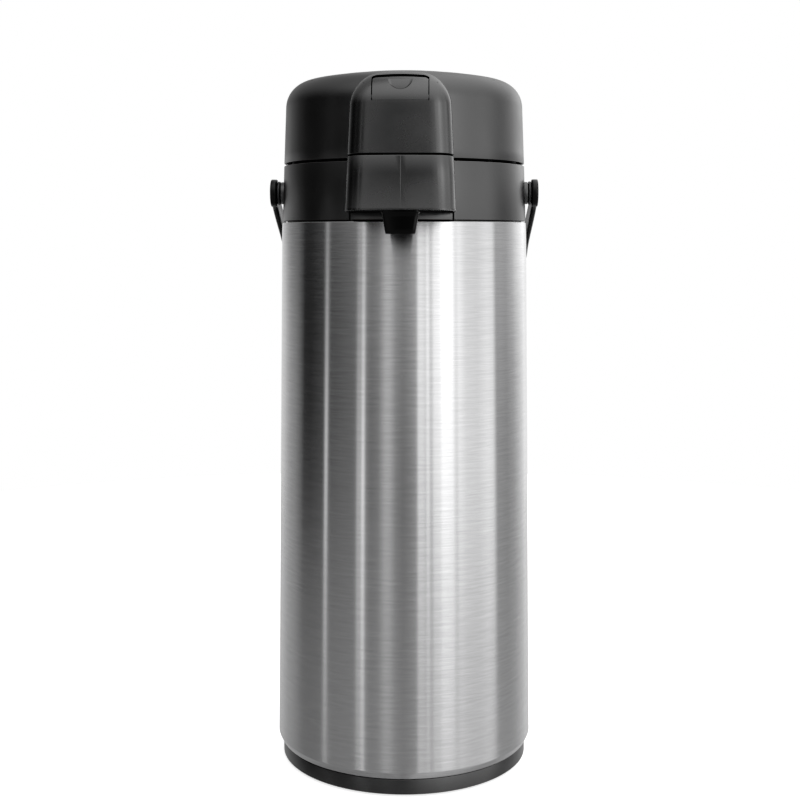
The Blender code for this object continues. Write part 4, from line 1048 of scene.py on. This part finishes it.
def bail_line(n_arm=14, n_corner=20, n_bar=6):
    line = []
    for i in range(n_arm):
        f = i / n_arm
        line.append((-(BAIL_X - (BAIL_X - 70.8) * f * f * (3 - 2 * f)), 52.0 * f, 3.6, 13.0 - 1.0 * f))
    for i in range(n_corner + 1):
        a = math.pi / 2 * i / n_corner
        f = i / n_corner
        ease = f * f * (3 - 2 * f)
        line.append((-(24.8 + 46.0 * math.cos(a)), 52.0 + (BAIL_L - 52.0) * math.sin(a), 3.6 + 7.4 * ease, 12.0 + 4.0 * ease))
    for i in range(1, n_bar + 1):
        line.append((-24.8 * (1 - i / n_bar), BAIL_L, 11.0, 16.0))
    return line


half = bail_line()
line = half + [(-x, s, th, w) for x, s, th, w in reversed(half[:-1])]
rings = []
SIDES = 28
for i, (x, s, th, w) in enumerate(line):
    x0, s0 = line[max(i - 1, 0)][:2]
    x1, s1 = line[min(i + 1, len(line) - 1)][:2]
    t2 = Vector((x1 - x0, s1 - s0)).normalized()
    n2 = Vector((-t2.y, t2.x))
    ring = []
    for k in range(SIDES):
        a = 2 * math.pi * (k + 0.5) / SIDES
        ca, sa = math.cos(a), math.sin(a)
        px = math.copysign(abs(ca) ** 0.62, ca) * th / 2
        py = math.copysign(abs(sa) ** 0.62, sa) * w / 2
        # the arms are channelled along their outer face
        channel = max(0.0, 1.0 - abs(py) / (0.30 * w)) if th < 4.2 and abs(ca) > 0.5 else 0.0
        px -= math.copysign(0.5 * min(channel * 2.2, 1.0), px) * (1 if channel else 0)
        p = Vector((x + n2.x * px, 0, 0)) + lay * (s + n2.y * px) + across * py
        ring.append((p.x, p.y, p.z + PIVOT_Z))
    rings.append(ring)
bail = loft("bail_handle", rings, SATIN, angle=50.0)
for sign, side in ((-1, "left"), (1, "right")):
    join(bail, cylinder("bail_eye_" + side, (sign * BAIL_X, 0, PIVOT_Z), 7.7, 3.6, "X", 64, cutter=True, edge=0.7))
for sign, side in ((-1, "left"), (1, "right")):
    cut(bail, cylinder("bail_bore_" + side, (sign * (BAIL_X - 0.7), 0, PIVOT_Z), 3.3, 12.0, "X", 32, cutter=True))
    cut(bail, cylinder("bail_recess_" + side, (sign * (BAIL_X + 2.3), 0, PIVOT_Z), 5.6, 4.4, "X", 48, cutter=True))
place(settle(bail, 40.0), "bail", "handle_bail")
clear_cutters()
for sign, side in ((-1, "left"), (1, "right")):
    bolt = turned(
        "handle_bolt_" + side,
        [(0.0, 74.9), (4.2, 74.9), (5.2, 74.5), (5.2, 73.7), (3.0, 73.7), (3.0, 69.8), (1.5, 69.8), (1.5, 62.2), (0.0, 62.2)],
        40, BRIGHT, fillet=0.25,
    )
    for k, (w, d) in enumerate(((0.45, 2.3), (2.3, 0.45))):
        cut(bolt, block(f"bolt_slot_{side}_{k}", (-w, -d, 73.9), (w, d, 76.6), cutter=True))
    settle(bolt)
    washer = turned("handle_spacer_" + side, [(3.4, 69.8), (6.5, 69.8), (6.5, 71.2), (3.4, 71.2)], 48, DARK, fillet=0.3)
    for o, node in ((bolt, "handle_screw_" + side), (washer, "handle_washer_" + side)):
        o.data.transform(Matrix.Translation((0, 0, PIVOT_Z * MM)) @ Matrix.Rotation(sign * math.pi / 2, 4, "Y"))
        place(o, "pot", node)
    clear_cutters()

# ================================ floor and light =============================
floor_mat = Finish("floor_white", (0.86, 0.86, 0.86), 0.7, Specular_IOR_Level=0.1)
lift = floor_mat.add("ShaderNodeEmission")
lift.inputs["Strength"].default_value = 0.74
both = floor_mat.add("ShaderNodeAddShader")
floor_mat.link(floor_mat.shader.outputs[0], both.inputs[0]).link(lift.outputs[0], both.inputs[1])
dim = floor_mat.add("ShaderNodeBsdfDiffuse")
dim.inputs["Color"].default_value = (0.50, 0.50, 0.50, 1.0)
seen = floor_mat.add("ShaderNodeMixShader")
seen_by = floor_mat.add("ShaderNodeLightPath")
clear = floor_mat.add("ShaderNodeBsdfTransparent")
thin = floor_mat.add("ShaderNodeMixShader")
thin.inputs["Fac"].default_value = 0.25
floor_mat.link(clear.outputs[0], thin.inputs[1]).link(dim.outputs[0], thin.inputs[2])
floor_mat.link(seen_by.outputs["Is Camera Ray"], seen.inputs["Fac"]).link(thin.outputs[0], seen.inputs[1]).link(both.outputs[0], seen.inputs[2])
floor_mat.link(seen.outputs[0], floor_mat.tree.nodes["Material Output"].inputs["Surface"])
bm = bmesh.new()
bmesh.ops.create_circle(bm, cap_ends=True, segments=128, radius=0.9)
floor = bpy.data.meshes.new("floor")
bm.to_mesh(floor)
bm.free()
floor.materials.append(floor_mat.mat)
floor = bpy.data.objects.new("floor", floor)
bpy.context.scene.collection.objects.link(floor)

# studio surround: strips and cards by azimuth, 0 at the spout and positive to the right
LEFT = [
    (-180, 0.80), (-146, 0.76), (-129, 0.48), (-117, 0.34), (-108, 0.15), (-103, 0.045), (-94, 0.04), (-80, 0.08), (-76.5, 0.11), (-75, 1.1), (-73, 1.1),
    (-71.5, 0.11), (-58, 0.16), (-46, 0.19), (-42.6, 0.26), (-41.6, 0.85), (-39.2, 0.8), (-38.2, 0.45), (-37.2, 1.55), (-35.2, 1.5), (-34, 0.3), (-29, 0.17), (-22, 0.24), (-15.5, 0.62), (-12, 0.58), (-6, 0.24), (0, 0.14),
]
RIGHT = [
    (0, 0.14), (4, 0.18), (9, 0.27), (12.6, 0.36), (13.9, 1.1), (19.4, 1.0), (20.6, 0.62), (21.8, 1.3), (23.6, 1.3), (24.8, 0.62), (26.4, 0.72), (28, 1.2),
    (34, 1.3), (36, 1.7), (46, 1.6), (48.6, 1.1), (50.4, 1.05), (52, 1.45), (60, 1.22), (72, 1.15), (84, 1.42), (90, 1.3), (95, 0.42), (110, 0.33),
    (122, 0.45), (136, 0.8), (150, 1.15), (180, 0.8),
]
# above the horizon: how much brighter the bands are there, and the even level overhead, by azimuth
UP = [(-180, 0.7), (-150, 0.5), (-105, 0.42), (-60, 0.36), (-42, 0.42), (-22, 0.9), (0, 1.45), (20, 1.5), (45, 1.5), (60, 0.95), (88, 0.9), (100, 1.5), (125, 1.95), (150, 1.6), (180, 0.7)]
HIGH = [(-180, 0.75), (-160, 0.4), (-100, 0.42), (-60, 0.6), (-25, 1.0), (0, 1.2), (60, 1.25), (100, 1.2), (160, 1.2), (180, 0.75)]
world = bpy.data.worlds.new("studio")
bpy.context.scene.world = world
world.use_nodes = True
tree = world.node_tree
tree.nodes.clear()
add, link = tree.nodes.new, tree.links.new
coords = add("ShaderNodeTexCoord")
split = add("ShaderNodeSeparateXYZ")
link(coords.outputs["Generated"], split.inputs[0])


def wmath(operation, a, b=None):
    node = add("ShaderNodeMath")
    node.operation = operation
    for socket, value in ((node.inputs[0], a), (node.inputs[1], b)):
        if value is None:
            continue
        if isinstance(value, (int, float)):
            socket.default_value = value
        else:
            link(value, socket)
    return node.outputs[0]


azimuth = wmath("ARCTAN2", split.outputs["X"], wmath("MULTIPLY", split.outputs["Y"], -1.0))


def ramp_of(factor, stops):
    node = add("ShaderNodeValToRGB")
    link(factor, node.inputs["Fac"])
    elements = node.color_ramp.elements
    while len(elements) > 1:
        elements.remove(elements[-1])
    for i, (position, level) in enumerate(stops):
        e = elements[0] if i == 0 else elements.new(position)
        e.position = position
        e.color = (level, level, level, 1.0)
    return node.outputs["Color"]


turn = wmath("MULTIPLY", azimuth, 1 / math.pi)
left = ramp_of(wmath("ADD", turn, 1.0), [(deg / 180.0 + 1.0, level / 2.0) for deg, level in LEFT])
right = ramp_of(turn, [(deg / 180.0, level / 2.0) for deg, level in RIGHT])
is_right = wmath("GREATER_THAN", turn, 0.0)
sides = wmath("ADD", wmath("MULTIPLY", left, wmath("SUBTRACT", 1.0, is_right)), wmath("MULTIPLY", right, is_right))
bands = wmath("MULTIPLY", sides, 2.0)
# by the sine of the elevation: how far the bands give way to an even level, and that level
sine = wmath("ADD", wmath("MULTIPLY", split.outputs["Z"], 0.5), 0.5)
share = ramp_of(sine, [((v + 1) / 2, k) for v, k in ((-1.0, 0.75), (-0.6, 0.7), (-0.38, 0.5), (-0.24, 0.24), (-0.1, 0.05), (0.0, 0.0), (0.2, 0.0), (0.4, 0.55), (0.7, 1.0))])
level = ramp_of(sine, [((v + 1) / 2, k / 2) for v, k in ((-1.0, 0.26), (-0.6, 0.34), (-0.4, 0.42), (-0.2, 0.26), (0.0, 0.2), (0.2, 0.45), (0.5, 0.8), (0.8, 1.1), (1.0, 1.3))])
raised = ramp_of(sine, [((v + 1) / 2, k) for v, k in ((0.0, 0.0), (0.04, 0.1), (0.11, 1.0))])
round_about = wmath("ADD", wmath("MULTIPLY", turn, 0.5), 0.5)
up = wmath("MULTIPLY", ramp_of(round_about, [(deg / 360 + 0.5, k / 2) for deg, k in UP]), 2.0)
high = wmath("MULTIPLY", ramp_of(round_about, [(deg / 360 + 0.5, k / 2) for deg, k in HIGH]), 4.0)
bands = wmath("MULTIPLY", bands, wmath("ADD", 1.0, wmath("MULTIPLY", raised, wmath("SUBTRACT", up, 1.0))))
over = wmath("MULTIPLY", level, wmath("ADD", 2.0, wmath("MULTIPLY", raised, wmath("SUBTRACT", high, 2.0))))
even = wmath("ADD", wmath("MULTIPLY", bands, wmath("SUBTRACT", 1.0, share)), wmath("MULTIPLY", share, over))
glow = add("ShaderNodeBackground")
link(even, glow.inputs["Color"])
plain = add("ShaderNodeBackground")
plain.inputs["Color"].default_value = (1.0, 1.0, 1.0, 1.0)
plain.inputs["Strength"].default_value = 1.0
mix = add("ShaderNodeMixShader")
path_kind = add("ShaderNodeLightPath")
link(path_kind.outputs["Is Camera Ray"], mix.inputs["Fac"])
link(glow.outputs[0], mix.inputs[1])
link(plain.outputs[0], mix.inputs[2])
link(mix.outputs[0], add("ShaderNodeOutputWorld").inputs["Surface"])

# =================================== camera ===================================
camera = bpy.data.cameras.new("camera")
camera.sensor_width = 36.0
camera.lens = 1313.0 / 800 * 36.0
camera.shift_y = -0.0825
camera.clip_start, camera.clip_end = 0.01, 20.0
eye = bpy.data.objects.new("camera", camera)
bpy.context.scene.collection.objects.link(eye)
az, pitch, yaw = math.radians(1.21), math.radians(4.16), math.atan(4.12 / 1313.0)
eye.location = (0.7445 * math.sin(az), -0.7445 * math.cos(az), 0.295)
eye.rotation_euler = (math.pi / 2 - pitch, 0.0, az + yaw)
bpy.context.scene.camera = eye
bpy.context.scene.view_settings.view_transform = "Standard"
bpy.context.scene.view_settings.look = "None"
# the print's deep blacks: tones under about a tenth of white are set a little lower
bpy.context.scene.view_settings.use_curve_mapping = True
mapping = bpy.context.scene.view_settings.curve_mapping
for x, y in ((0.008, 0.0022), (0.020, 0.0075), (0.035, 0.021), (0.055, 0.046), (0.1, 0.1)):
    mapping.curves[3].points.new(x, y)
for point in mapping.curves[3].points:
    point.handle_type = "VECTOR"
mapping.update()
